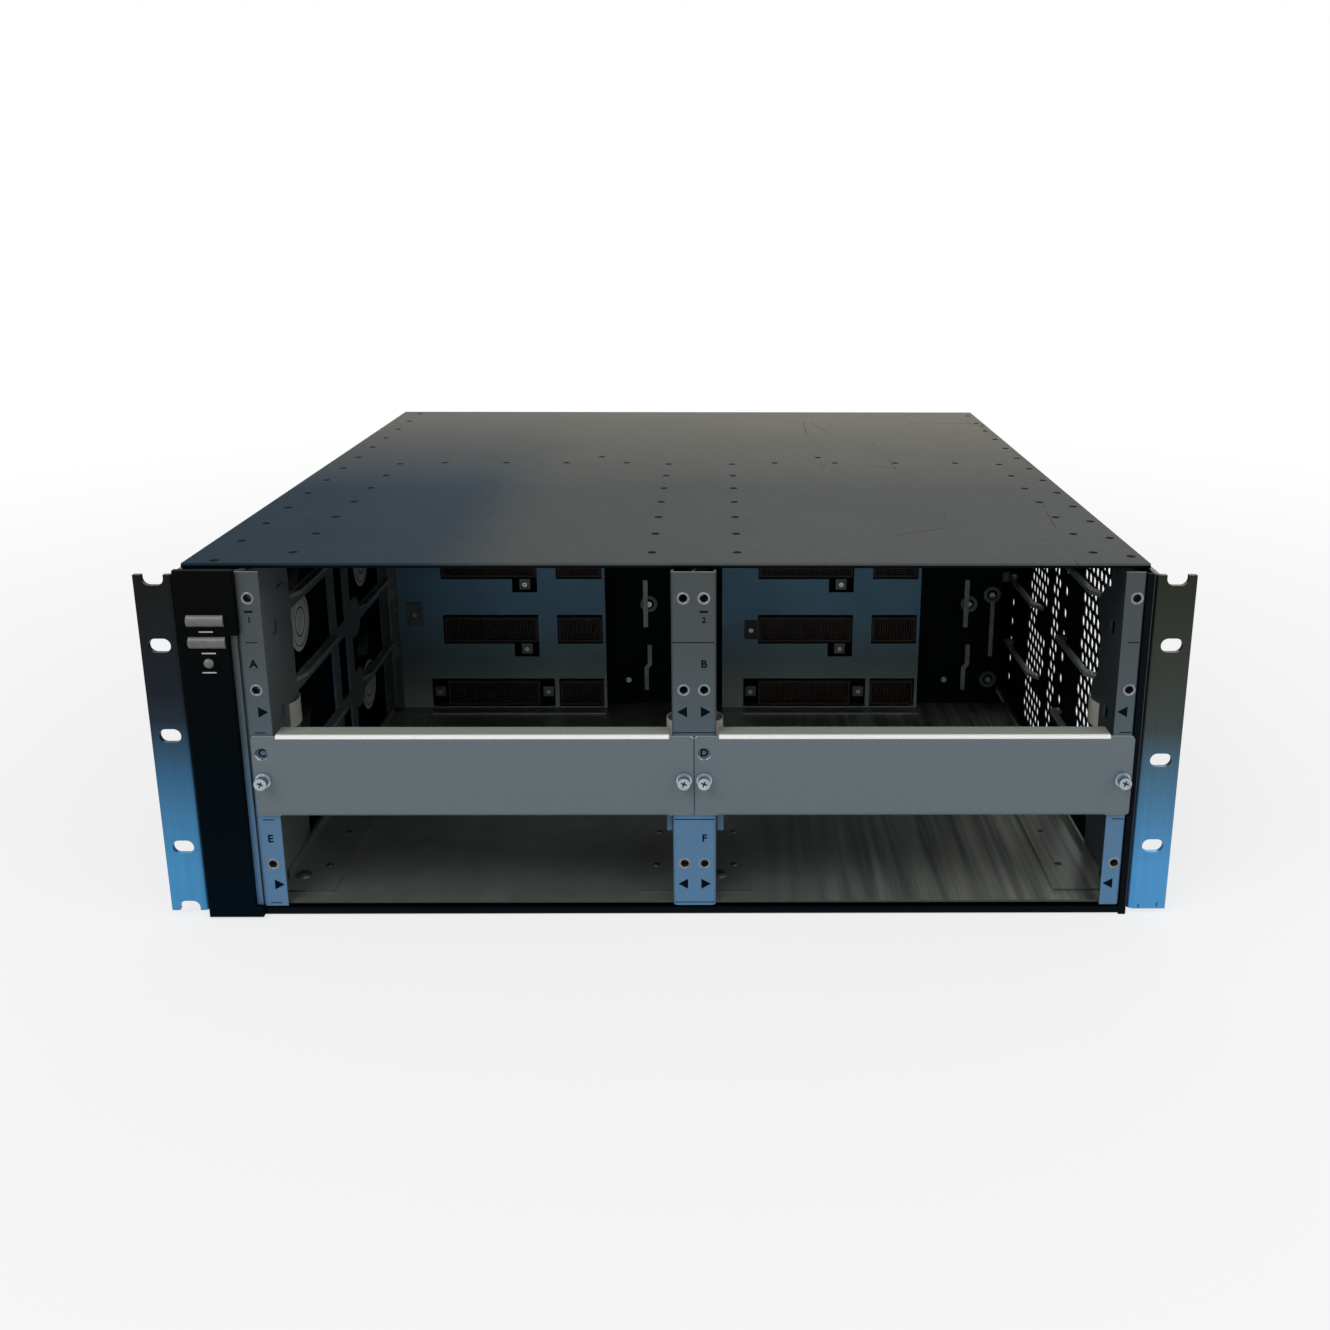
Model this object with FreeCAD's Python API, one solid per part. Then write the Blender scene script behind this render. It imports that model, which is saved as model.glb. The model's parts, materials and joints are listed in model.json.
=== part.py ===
import FreeCAD, Part
import math
import os
from FreeCAD import Vector

# Modular switch chassis, four rack units high, standing as it does in a rack.
# Millimetres.  +X is to the right seen from the front, +Y runs to the rear, +Z is up.
# Everything is drawn with y = 0 on the front face of the slot posts and rack ears and
# z = 0 under the base pan.  export() then moves it back so that the origin is the
# middle of the bounding box, at its base.

# ---- rack and body ---------------------------------------------------------------
RACK_UNIT = 44.45
RACK_WIDTH = 482.6            # across the ears
RACK_HOLE_X = 232.55          # slot columns either side of the middle
BASE_IN_RACK = 1.3            # the base pan stands this far above the rack-unit line
BODY_WIDTH = 444.5
BODY_HEIGHT = 175.3
BODY_DEPTH = 450.9
COVER_SETBACK = 8.0           # the top cover starts this far behind the posts
SHEET = 1.2                   # pressed steel sheet
THIN_SHEET = 1.0
WALL_SHEET = 1.5
BEND = 1.0                    # inside radius of a fold
GAP = 0.1                     # between neighbouring sheets

HALF_BODY = BODY_WIDTH / 2
WALL_INNER = HALF_BODY - WALL_SHEET
REAR = COVER_SETBACK + BODY_DEPTH
COVER_UNDER = BODY_HEIGHT - SHEET
HEM_UNDER = COVER_UNDER - SHEET
HEM_LENGTH = 12.0

# ---- module bays -----------------------------------------------------------------
BAY_MID = 12.05               # the bays sit to one side, beside the fan tray
BAY_OFFSET = 103.65
BAYS = (BAY_MID - BAY_OFFSET, BAY_MID + BAY_OFFSET)
SLOT_LINES = [6.55 + RACK_UNIT * row for row in range(4)]
FLOOR_TOP = 6.7
BAY_TOP = 171.5
OPENING_HALF = 93.25          # half the clear width between two posts
SCREW_HALF = 98.9             # module screws either side of a bay's middle
SCREW_RISE = 21.15            # module screws above a slot line
POST_BASE = 5.5
POST_TOP = 173.5
POST_LEFT = -196.9            # outer edges of the left and right posts
POST_RIGHT = 218.6
LEAF_LEFT = -193.5            # outer faces of their leaves
LEAF_RIGHT = 217.2
BAY_WALL_X = -193.6           # inner face of the wall between bays and fan tray
SHIELD_Y = 254.0
FLANGE = 10.0
BOARD_Y = 264.0
BOARD_THICK = 2.4
BOARD_X = (-193.0, 212.0)

# ---- fan tray --------------------------------------------------------------------
FAN_SIZE = 80.0
FAN_X = (-215.2, -195.2)
FAN_BORE = 37.5
FAN_TIP = 36.3
HUB_RADIUS = 18.0
FAN_PLACES = [(84.8, 42.4), (84.8, 122.6), (206.0, 42.4), (206.0, 122.6)]
SHAFT_RADIUS = 1.5
TRAY_FRONT = 42.0
END_PLATE_Y = REAR + 0.3


# ---- helpers ---------------------------------------------------------------------
def box(x, y, z):
    """A block from three (low, high) pairs."""
    return Part.makeBox(x[1] - x[0], y[1] - y[0], z[1] - z[0], Vector(x[0], y[0], z[0]))


def lift(axis, u, v, w):
    """The space point of (u, v) in the plane across axis, at w along it."""
    if axis == "X":
        return Vector(w, u, v)
    if axis == "Y":
        return Vector(u, w, v)
    return Vector(u, v, w)


def along(axis, length):
    return lift(axis, 0, 0, length)


def rod(radius, axis, u, v, span):
    """A round bar along an axis, between the two ends in span."""
    start = lift(axis, u, v, span[0])
    return Part.makeCylinder(radius, span[1] - span[0], start, along(axis, 1))


def outline(points, axis, at):
    corners = [lift(axis, u, v, at) for u, v in points]
    return Part.makePolygon(corners + corners[:1])


def plate(points, axis, span, holes=()):
    """A flat plate of the given outline and hole outlines, extruded over span."""
    wires = [outline(points, axis, span[0])]
    wires += [outline(hole, axis, span[0]) for hole in holes]
    face = Part.makeFace(wires, "Part::FaceMakerBullseye")
    return face.extrude(along(axis, span[1] - span[0]))


def rectangle(u, v):
    return [(u[0], v[0]), (u[1], v[0]), (u[1], v[1]), (u[0], v[1])]


def hexagon(u, v, flats):
    """A hexagon with two of its flats upright, by the distance across its flats."""
    radius = flats / math.sqrt(3)
    angles = [math.radians(30 + 60 * corner) for corner in range(6)]
    return [(u + radius * math.cos(a), v + radius * math.sin(a)) for a in angles]


def slot(axis, u, v, span, length, radius):
    """A bar with round ends, long across the plane's first direction."""
    reach = length / 2 - radius
    middle = plate(rectangle((u - reach, u + reach), (v - radius, v + radius)), axis, span)
    ends = [rod(radius, axis, u + side * reach, v, span) for side in (-1, 1)]
    return middle.fuse(ends).removeSplitter()


def unit(a, b):
    length = math.hypot(b[0] - a[0], b[1] - a[1])
    return ((b[0] - a[0]) / length, (b[1] - a[1]) / length)


def side_line(path, shift):
    """The path moved sideways by shift, to its left where that is positive."""
    ways = [unit(a, b) for a, b in zip(path, path[1:])]
    normals = [(-dy, dx) for dx, dy in ways]
    normals = [normals[0]] + normals + [normals[-1]]
    moved = []
    for (px, py), n1, n2 in zip(path, normals, normals[1:]):
        share = shift / (1 + n1[0] * n2[0] + n1[1] * n2[1])
        moved.append((px + share * (n1[0] + n2[0]), py + share * (n1[1] + n2[1])))
    return moved


def rounded_edges(path, left_radius, right_radius, axis, at):
    """Edges along path, its left turns and right turns each rounded to a radius."""
    edges = []
    start = path[0]
    for before, corner, after in zip(path, path[1:], path[2:]):
        way_in = unit(before, corner)
        way_out = unit(corner, after)
        cross = way_in[0] * way_out[1] - way_in[1] * way_out[0]
        radius = left_radius if cross > 0 else right_radius
        half = math.atan2(abs(cross), way_in[0] * way_out[0] + way_in[1] * way_out[1]) / 2
        cut = radius * math.tan(half)
        first = (corner[0] - way_in[0] * cut, corner[1] - way_in[1] * cut)
        last = (corner[0] + way_out[0] * cut, corner[1] + way_out[1] * cut)
        bisector = unit((0, 0), (way_out[0] - way_in[0], way_out[1] - way_in[1]))
        sink = radius / math.cos(half) - radius
        middle = (corner[0] + bisector[0] * sink, corner[1] + bisector[1] * sink)
        edges.append(Part.makeLine(lift(axis, *start, at), lift(axis, *first, at)))
        arc = Part.Arc(lift(axis, *first, at), lift(axis, *middle, at), lift(axis, *last, at))
        edges.append(arc.toShape())
        start = last
    edges.append(Part.makeLine(lift(axis, *start, at), lift(axis, *path[-1], at)))
    return edges


def folded(path, axis, span, thickness=SHEET, bend=BEND):
    """Sheet folded along path and lying on its left, with the true fold radii."""
    inner = side_line(path, thickness)
    at = span[0]
    edges = rounded_edges(path, bend + thickness, bend, axis, at)
    edges += rounded_edges(inner, bend, bend + thickness, axis, at)
    for a, b in ((path[0], inner[0]), (path[-1], inner[-1])):
        edges.append(Part.makeLine(lift(axis, *a, at), lift(axis, *b, at)))
    wire = Part.Wire(Part.__sortEdges__(edges))
    return Part.Face(wire).extrude(along(axis, span[1] - span[0]))


def cut_all(body, tools):
    return body.cut(Part.makeCompound(tools)) if tools else body


def join(shapes):
    return shapes[0].fuse(shapes[1:]).removeSplitter() if len(shapes) > 1 else shapes[0]


NODES = {}


def add(name, *solids):
    """Keep the named node as one solid, or as a group of separate ones."""
    NODES[name] = solids[0] if len(solids) == 1 else Part.makeCompound(list(solids))


# ---- casing ----------------------------------------------------------------------
PAN_LIP = 4.2
PAN_REAR = REAR - 2.6
PAN_REAR_LIP = 6.0


def base_pan():
    """Bottom sheet, its rear lip left out where the fan tray slides away."""
    path = [(0, PAN_LIP), (0, 0), (PAN_REAR, 0), (PAN_REAR, PAN_REAR_LIP)]
    pan = folded(path, "X", (-WALL_INNER + GAP, WALL_INNER - GAP))
    corner = box((POST_RIGHT, HALF_BODY), (-1, 3.0), (-1, PAN_LIP + 1))
    tray_way = box((-HALF_BODY, BAY_WALL_X - THIN_SHEET), (PAN_REAR - SHEET - BEND, REAR), (SHEET, 20))
    return cut_all(pan, [corner, tray_way])


def floor_sheet():
    left = BAY_WALL_X + GAP
    right = WALL_INNER - GAP
    path = [(left, SHEET), (left, FLOOR_TOP), (right, FLOOR_TOP), (right, SHEET)]
    return folded(path[::-1], "Y", (SHEET + BEND + GAP, BOARD_Y + BOARD_THICK))


def top_cover():
    """Flat cover whose front edge is hemmed back under itself."""
    front = COVER_SETBACK
    middle = COVER_UNDER
    nose = Part.Arc(Vector(0, front + SHEET, BODY_HEIGHT), Vector(0, front, middle),
                    Vector(0, front + SHEET, HEM_UNDER)).toShape()
    corners = [(front + SHEET, HEM_UNDER), (front + HEM_LENGTH, HEM_UNDER),
               (front + HEM_LENGTH, middle), (REAR, middle), (REAR, BODY_HEIGHT),
               (front + SHEET, BODY_HEIGHT)]
    points = [Vector(0, y, z) for y, z in corners]
    lines = [Part.makeLine(a, b) for a, b in zip(points, points[1:])]
    profile = Part.Face(Part.Wire(Part.__sortEdges__(lines + [nose])))
    profile.translate(Vector(-HALF_BODY, 0, 0))
    return profile.extrude(Vector(BODY_WIDTH, 0, 0))


VENT_PITCH = 7.58
VENT_FLATS = 5.7
VENT_Z = (12.0, 167.0)
VENT_FIELDS = [               # first column, number of columns, height of one vent in it
    (64.4, 12, 136.1),
    (142.7, 1, 122.3),
    (158.2, 4, 122.2),
    (185.8, 11, 115.7),
    (270.4, 1, 63.5)]
RAIL_FIXING = (194.0, 14.0, 5.0)  # no vents around here: y, half length and half height


def by_rail_fixing(y, z):
    middle, half_length, half_height = RAIL_FIXING
    return abs(y - middle) < half_length and any(
        abs(z - line + half_height) < half_height + 3.5 for line in SLOT_LINES[1:])


def vent_field(first, count, level):
    """Hexagonal vents in staggered columns, each column half a pitch from the next."""
    rise = VENT_PITCH * math.sqrt(3)
    holes = []
    for column in range(count):
        y = first + column * VENT_PITCH / 2
        z = level + (column % 2) * rise / 2
        z -= math.floor((z - VENT_Z[0]) / rise) * rise
        while z < VENT_Z[1]:
            if not by_rail_fixing(y, z):
                holes.append(hexagon(y, z, VENT_FLATS))
            z += rise
    return holes


def side_outline():
    """Side of the case, stepped down under the hem of the top cover."""
    hem_end = COVER_SETBACK + HEM_LENGTH + GAP
    low = HEM_UNDER - GAP
    top = COVER_UNDER - GAP
    return [(GAP, 0), (REAR, 0), (REAR, top), (hem_end, top), (hem_end, low), (GAP, low)]


def right_side_wall():
    """Pressed side with fine hexagonal vents in five fields, and its narrow front fold."""
    vents = [hole for field in VENT_FIELDS for hole in vent_field(*field)]
    wall = plate(side_outline(), "X", (WALL_INNER, HALF_BODY), vents)
    front_fold = box((POST_RIGHT + 0.2, WALL_INNER), (GAP, GAP + WALL_SHEET),
                     (0, HEM_UNDER - GAP))
    return join([wall, front_fold])


FAN_VENT_PITCH = 14.6
FAN_VENT_FLATS = 12.0
LEFT_VENTS = (348.6, 3, 50.5)


def left_side_wall():
    """Pressed side with a cluster of wide vents beside each fan and a few fine ones behind."""
    holes = vent_field(*LEFT_VENTS)
    for centre_y, centre_z in FAN_PLACES:
        for row in range(-2, 3):
            count = 5 - abs(row)
            for place in range(count):
                y = centre_y + (place - (count - 1) / 2) * FAN_VENT_PITCH
                z = centre_z + row * FAN_VENT_PITCH * math.sqrt(3) / 2
                holes.append(hexagon(y, z, FAN_VENT_FLATS))
    return plate(side_outline(), "X", (-HALF_BODY, -WALL_INNER), holes)


REAR_TOP_FLANGE = 12.0
POWER_BAY_Z = (9.0, 91.0)
POWER_BAY_X = [(-182.0, 6.4), (17.6, 206.0)]
TRAY_SCREW_X = -191.6
TRAY_SCREW_Z = (14.0, 161.0)
TRAY_SHANK = 1.5
REAR_LEFT = -194.9


def rear_panel():
    top = COVER_UNDER - GAP
    path = [(REAR, 1.3), (REAR, top), (REAR - REAR_TOP_FLANGE, top)]
    panel = folded(path, "X", (REAR_LEFT, WALL_INNER - GAP))
    tools = [box(x, (REAR - 5, REAR + 1), POWER_BAY_Z) for x in POWER_BAY_X]
    for z in TRAY_SCREW_Z:
        tools.append(rod(TRAY_SHANK + 0.08, "Y", TRAY_SCREW_X, z, (REAR - 5, REAR + 1)))
    return cut_all(panel, tools)


# ---- bay frame -------------------------------------------------------------------
BAY_WALL_FLANGE = -200.9
BAY_WINDOWS_Y = [(66.0, 130.0), (142.0, 159.0), (170.5, 243.0)]
BAY_WINDOWS_Z = [(10.0, 46.5), (55.5, 91.0), (100.0, 135.4), (144.4, 168.0)]
TAB_Y = 178.0
TAB_RADIUS = 12.0


def bay_wall():
    """Open side frame between the module bays and the fans.

    Its front is joggled out around the left post and ends in a narrow flange.  Rounded
    tabs stand out of the rear upright where the rear guide rails begin.
    """
    inner = BAY_WALL_X
    edge = POST_LEFT - GAP
    top = COVER_UNDER - GAP
    path = [(BAY_WALL_FLANGE, 0), (edge, 0), (edge, 5.0), (inner, 9.0), (inner, REAR - 1.4)]
    wall = folded(path, "Z", (1.3, top), THIN_SHEET, 0.6)
    tools = [box((BAY_WALL_FLANGE - 1, edge - THIN_SHEET), (-1, 2.5), z)
             for z in ((142.0, 180.0), (0, 6.5))]
    through = (inner - THIN_SHEET - 1, inner + 1)
    tabs = [rod(TAB_RADIUS, "X", TAB_Y, line, through) for line in SLOT_LINES[1:]]
    tools += [box(through, y, z).cut(tabs) for y in BAY_WINDOWS_Y for z in BAY_WINDOWS_Z]
    front_part = (edge - THIN_SHEET - 1, inner + 1)
    tools.append(box(through, (PAN_REAR - SHEET - BEND - 0.2, REAR), (0, PAN_REAR_LIP + 0.2)))
    tools.append(box(front_part, (-1, COVER_SETBACK + HEM_LENGTH + GAP), (HEM_UNDER - GAP, 180)))
    tools.append(box(front_part, (-1, SHEET + BEND + GAP), (0, PAN_LIP + GAP)))
    tools.append(box(through, (REAR - REAR_TOP_FLANGE - GAP, REAR), (171.5, 180)))
    return cut_all(wall, tools)


# Rear edge of an outer post's leaf: a bump at each guide rail, and less depth at the top.
LEAF_REAR = 54.5
LEAF_BUMP = 63.5
LEAF_TOP = (45.0, 152.5)


def leaf_outline():
    edge = [(10.0, FLOOR_TOP + GAP), (LEAF_REAR, FLOOR_TOP + GAP)]
    for line in SLOT_LINES[1:]:
        edge += [(LEAF_REAR, line - 12.7), (LEAF_BUMP, line - 4.5),
                 (LEAF_BUMP, line + 1.5), (LEAF_REAR, line + 9.7)]
    edge += [(LEAF_REAR, LEAF_TOP[1]), (LEAF_TOP[0], LEAF_TOP[1]), (LEAF_TOP[0], BAY_TOP),
             (10.0, BAY_TOP)]
    return edge


POST_HOLE = 2.0
LEAF_SLOTS = [line - 4.5 for line in SLOT_LINES[1:]]


def post_holes(x):
    return [rod(POST_HOLE, "Y", x, line + SCREW_RISE, (-2, 4)) for line in SLOT_LINES]


def outer_post(flange_end, edge, leaf, hole_x):
    """Angle with the module screw holes on its face, its leaf joggled in along the bay."""
    inward = 1 if edge < flange_end else -1
    path = [(leaf, 70.0), (leaf, 8.5), (edge, 4.5), (edge, 0), (flange_end, 0)]
    angle = folded(path[::inward], "Z", (POST_BASE, POST_TOP))
    front = box((-300, 300), (-1, SHEET), (0, 200))
    fold = box((-300, 300), (-1, 12.0), (FLOOR_TOP + GAP, BAY_TOP))
    keep = join([plate(leaf_outline(), "X", (-300, 300)), fold, front])
    angle = angle.common(keep)
    windows = [box((-300, 300), (34.0, 41.0), (z - 3.3, z + 3.3)) for z in LEAF_SLOTS]
    return cut_all(angle, windows + post_holes(hole_x))


SPRING_Y = (47.5, 64.5)
SPRING_Z = (78.0, 91.0)
SPRING_RISE = 2.4
SPRING_SHEET = 0.5


def earth_spring(face, way):
    """Bowed strip on a post's leaf that rubs on a module's side and earths it."""
    y0, y1 = SPRING_Y
    half = (y1 - y0) / 2
    radius = (half * half + SPRING_RISE * SPRING_RISE) / (2 * SPRING_RISE)
    centre = face + way * (SPRING_RISE - radius)
    middle = (y0 + y1) / 2
    outer = rod(radius, "Z", centre, middle, SPRING_Z)
    inner = rod(radius - SPRING_SHEET, "Z", centre, middle, SPRING_Z)
    side = sorted((face + way * 0.05, face + way * (SPRING_RISE + 1)))
    return outer.cut(inner).common(box(side, (y0 - 1, y1 + 1), SPRING_Z))


def centre_post():
    left = BAYS[0] + OPENING_HALF
    right = BAYS[1] - OPENING_HALF
    path = [(left, 7.5), (left, 0), (right, 0), (right, 7.5)]
    channel = folded(path, "Z", (POST_BASE, POST_TOP))
    ends = [box((left - 1, right + 1), (SHEET, 8), (0, FLOOR_TOP + GAP)),
            box((left - 1, right + 1), (SHEET, 8), (HEM_UNDER - GAP, 180))]
    holes = post_holes(BAYS[0] + SCREW_HALF) + post_holes(BAYS[1] - SCREW_HALF)
    return cut_all(channel, ends + holes)


def centre_divider():
    """Frame between the two bays, open but for its struts and rail bands."""
    left = BAY_MID - THIN_SHEET / 2
    frame = box((left, left + THIN_SHEET), (SHEET + 0.3, SHIELD_Y - GAP),
                (FLOOR_TOP + GAP, COVER_UNDER - SHEET - 2 * GAP))
    rows = [(16.0, 44.0), (57.0, 88.4), (101.5, 132.9), (146.0, 164.0)]
    tools = [box((0, 24), y, z) for y in ((60, 117), (127, 178), (188, 244)) for z in rows]
    return cut_all(frame, tools)


RAIL_SPANS = [(66.0, 136.0), (187.0, 252.5)]
RIGHT_RAIL_SPANS = [(66.0, 136.0), (187.0, 261.0)]
RAIL_RISE = 3.1
RAIL_TIP = 98.8               # rail tips either side of a bay's middle
RAIL_WIDTH = 3.0
RAIL_HEIGHT = 2.2


def guide_rail(tip, wall, line, span):
    """Bar that the edge of a module slides on, tapered in front to lead it in.

    Where the wall is further away than the bar is wide, the bar bridges between two feet.
    """
    way = math.copysign(1, wall - tip)
    start, end = span
    back = tip + way * RAIL_WIDTH
    edge = [(wall, start), (tip, start + 9.0), (tip, end - 1.2), (tip + way * 1.2, end),
            (wall, end)]
    if abs(wall - back) > 2.0:
        edge += [(wall, end - 4.0), (back, end - 5.0), (back, start + 13.0),
                 (wall, start + 7.0)]
    top = line + RAIL_RISE
    return plate(edge, "Z", (top - RAIL_HEIGHT, top))


def guide_rails(tip, wall, spans=RAIL_SPANS):
    return [guide_rail(tip, wall, line, span) for line in SLOT_LINES[1:] for span in spans]


GUIDE_WIDTH = 26.5


def flat_guides(z, front, lip):
    """Two strips in each bay that keep a module's lower or upper corners in line."""
    outer = (LEAF_LEFT + SHEET + GAP, LEAF_RIGHT - SHEET - GAP)
    middle = (BAY_MID - 0.5 - GAP, BAY_MID + 0.5 + GAP)
    rear = SHIELD_Y - FLANGE - GAP
    up = sorted((z, z + lip))
    sheet = sorted((z, z + math.copysign(THIN_SHEET, lip)))
    strips = []
    for edge, way in ((outer[0], 1), (middle[0], -1), (middle[1], 1), (outer[1], -1)):
        far = edge + way * GUIDE_WIDTH
        flat = box((min(edge, far), max(edge, far)), (front, rear), sheet)
        wall = edge + way * THIN_SHEET
        fence = box((min(edge, wall), max(edge, wall)), (front + 12.0, rear), up)
        strips.append(join([flat, fence]))
    return strips


# ---- backplane -------------------------------------------------------------------
LONG_WINDOW = (-66.0, -3.4)   # across, from a bay's middle
SHORT_WINDOW = (9.0, 38.8)
WINDOW_RISE = (1.8, 21.8)     # above a slot line
SHIELD_END = 40.8
SHIELD_STARTS = (-95.2, -89.6)
CLAMP_SIZE = 7.0


def shield(bay, start):
    """Backplane screen with a window for each connector and flanges riveted above and below."""
    low = FLOOR_TOP + GAP
    top = COVER_UNDER - GAP
    front = SHIELD_Y - FLANGE
    rear = SHIELD_Y + THIN_SHEET
    path = [(front, low), (rear, low), (rear, top), (front, top)]
    sheet = folded(path, "X", (bay + start, bay + SHIELD_END), THIN_SHEET, 0.6)
    through = (SHIELD_Y - 3, rear + 1)
    tools = []
    for row, line in enumerate(SLOT_LINES):
        z = (line + WINDOW_RISE[0], line + WINDOW_RISE[1])
        tools.append(box((bay + SHORT_WINDOW[0], bay + SHORT_WINDOW[1]), through, z))
        if row == 3:
            continue
        left = LONG_WINDOW[0] - (9.5 if row == 0 else 0)
        right = LONG_WINDOW[1] + (9.5 if row == 0 else 0)
        tools.append(box((bay + left, bay + right), through, z))
        if row > 0:
            notch = (bay + LONG_WINDOW[1] - 16.3, bay + LONG_WINDOW[1])
            tools.append(box(notch, through, (z[0] - 9.0, z[0] + 1)))
    return cut_all(sheet, tools)


def shield_bracket():
    """Upright angle that ties the left screen to the bay wall."""
    inner = BAY_WALL_X + GAP
    screen_edge = BAYS[0] + SHIELD_STARTS[0] - GAP
    rear = SHIELD_Y - GAP
    path = [(screen_edge, rear), (inner, rear), (inner, 234.0)]
    angle = folded(path, "Z", (FLOOR_TOP + 1.3, COVER_UNDER - 6.5), THIN_SHEET, 0.6)
    round_rails = [box((inner - 1, inner + 2), (230.0, 252.7),
                       (line + RAIL_RISE - RAIL_HEIGHT - 0.2, line + RAIL_RISE + 0.2))
                   for line in SLOT_LINES[1:]]
    return cut_all(angle, round_rails)


def connectors(bay, window, rows, rear):
    """Upright headers on the board, open to the front."""
    blocks = []
    wall = 1.4
    for row in rows:
        line = SLOT_LINES[row]
        x = (bay + window[0] + 0.6, bay + window[1] - 0.6)
        z = (line + WINDOW_RISE[0] + 0.8, line + WINDOW_RISE[1] - 2.2)
        y = (SHIELD_Y + THIN_SHEET + 0.4, rear)
        well = box((x[0] + wall, x[1] - wall), (y[0] - 1, y[1] - 2.4), (z[0] + wall, z[1] - wall))
        blocks.append(box(x, y, z).cut(well))
    return blocks


def clamp(x, z):
    """Square clamp that holds a header's end to the board."""
    half = CLAMP_SIZE / 2
    return box((x - half, x + half), (SHIELD_Y + THIN_SHEET + 0.8, BOARD_Y),
               (z - half, z + half))


def connector_clamps():
    clamps = []
    for bay in BAYS:
        for line in SLOT_LINES[1:3]:
            clamps.append(clamp(bay + LONG_WINDOW[1] - 8.2, line + WINDOW_RISE[0] - 4.0))
        low = SLOT_LINES[0] + 12.0
        clamps.append(clamp(bay + LONG_WINDOW[0] - 4.6, low))
        clamps.append(clamp(bay + LONG_WINDOW[1] + 4.9, low))
    return clamps


def board_bars():
    """Bare metal strips on the open end of the board: one straight and one cranked."""
    bars = []
    front = BOARD_Y - 1.5
    for bay in BAYS:
        x = bay + 66.8
        bars.append(box((x - 1.5, x + 1.5), (front, BOARD_Y), (61.5, 94.0)))
        crank = [(x - 1.3, 17.0), (x + 1.5, 17.0), (x + 1.5, 32.0), (x + 3.8, 35.0),
                 (x + 3.8, 49.0), (x + 1.0, 49.0), (x + 1.0, 36.0), (x - 1.3, 33.0)]
        bars.append(plate(crank, "Y", (front, BOARD_Y)))
    return bars


def board_standoffs():
    """Hexagonal standoffs that space the screens from the board."""
    posts = []
    for bay in BAYS:
        for x in (-74.0, 2.8):
            for z in (82.0, 130.0, 158.0):
                posts.append(plate(hexagon(bay + x, z, 5.5), "Y",
                                   (SHIELD_Y + THIN_SHEET, BOARD_Y)))
    return posts


# ---- power bays ------------------------------------------------------------------
POWER_SHELF_Z = 96.0
POWER_FRONT = 280.0


def power_shelf():
    top = POWER_SHELF_Z
    rear = REAR - SHEET - GAP
    path = [(POWER_FRONT, top - 8), (POWER_FRONT, top), (rear, top)]
    return folded(path[::-1], "X", (BAY_WALL_X + GAP, WALL_INNER - GAP))


def power_divider():
    low = SHEET + GAP
    top = POWER_SHELF_Z - SHEET - GAP
    left = BAY_MID - 1.1
    path = [(left + 12, top), (left, top), (left, low), (left + 12, low)]
    return folded(path, "Y", (POWER_FRONT + 4, PAN_REAR - SHEET - BEND - GAP))


BLANK_SHEET = 1.2
BLANK_LAP = 5.5
BLANK_SCREWS = [(x + way * 2.9, z) for bay in POWER_BAY_X
                for x, way in ((bay[0], -1), (bay[1], 1)) for z in (20.0, 80.0)]


def power_blank(x):
    """Blanking plate over a power supply bay, with a finger flange along its top."""
    y = REAR + GAP
    path = [(y, 3.0), (y, 97.0), (y + 9.0, 97.0)]
    return folded(path[::-1], "X", (x[0] - BLANK_LAP, x[1] + BLANK_LAP), BLANK_SHEET)


def pan_screw(x, z, face):
    return rod(2.6, "Y", x, z, (face, face + 1.8))


# ---- rack ears -------------------------------------------------------------------
EAR_SHEET = 2.5
EAR_LEAF = 62.0
EAR_Z = (4.4 - BASE_IN_RACK, 173.4 - BASE_IN_RACK)
EAR_SLOT_LENGTH = 10.3
EAR_SLOT_RADIUS = 3.4
LEFT_EAR_SLOTS = [rack - BASE_IN_RACK for rack in (38.1, 95.25, 139.7)]
RIGHT_EAR_SLOTS = [rack - BASE_IN_RACK for rack in (38.1, 82.55, 139.7)]
EAR_SCREWS = [(18.0, 30.0), (18.0, 145.0), (50.0, 30.0), (50.0, 145.0)]


def rack_ear(side, slots):
    """Folded rack angle: the same bracket is turned end for end on the other side."""
    wall = HALF_BODY + GAP
    path = [(RACK_WIDTH / 2, 0), (wall, 0), (wall, EAR_LEAF)]
    path = [(side * x, y) for x, y in path]
    if side > 0:
        ear = folded(path[::-1], "Z", EAR_Z, EAR_SHEET, 1.5)
    else:
        ear = folded(path, "Z", EAR_Z, EAR_SHEET, 1.5)
    through = (-1, EAR_SHEET + 1)
    x = side * RACK_HOLE_X
    tools = [slot("Y", x, z, through, EAR_SLOT_LENGTH, EAR_SLOT_RADIUS) for z in slots]
    for z in EAR_Z:
        tools.append(box((x - 5.0, x + 5.0), through, (z - 5.0, z + 5.0)))
    return cut_all(ear, tools)


def ear_screws(side):
    face = side * (HALF_BODY + GAP + EAR_SHEET)
    return [Part.makeCylinder(4.0, 1.6, Vector(face, y, z), Vector(side, 0, 0))
            for y, z in EAR_SCREWS]


# ---- status panel ----------------------------------------------------------------
BEZEL_FRONT = -3.5
BEZEL_X = (-HALF_BODY, -199.7)
BEZEL_WIDE = -195.3
LENS_X = (-217.6, -200.9)
LENS_HEIGHT = 5.6
POWER_LENS_Z = 151.4
FAULT_LENS_Z = 141.0
LOCATOR = (-209.6, 131.0)
LOCATOR_RADIUS = 2.4


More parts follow.
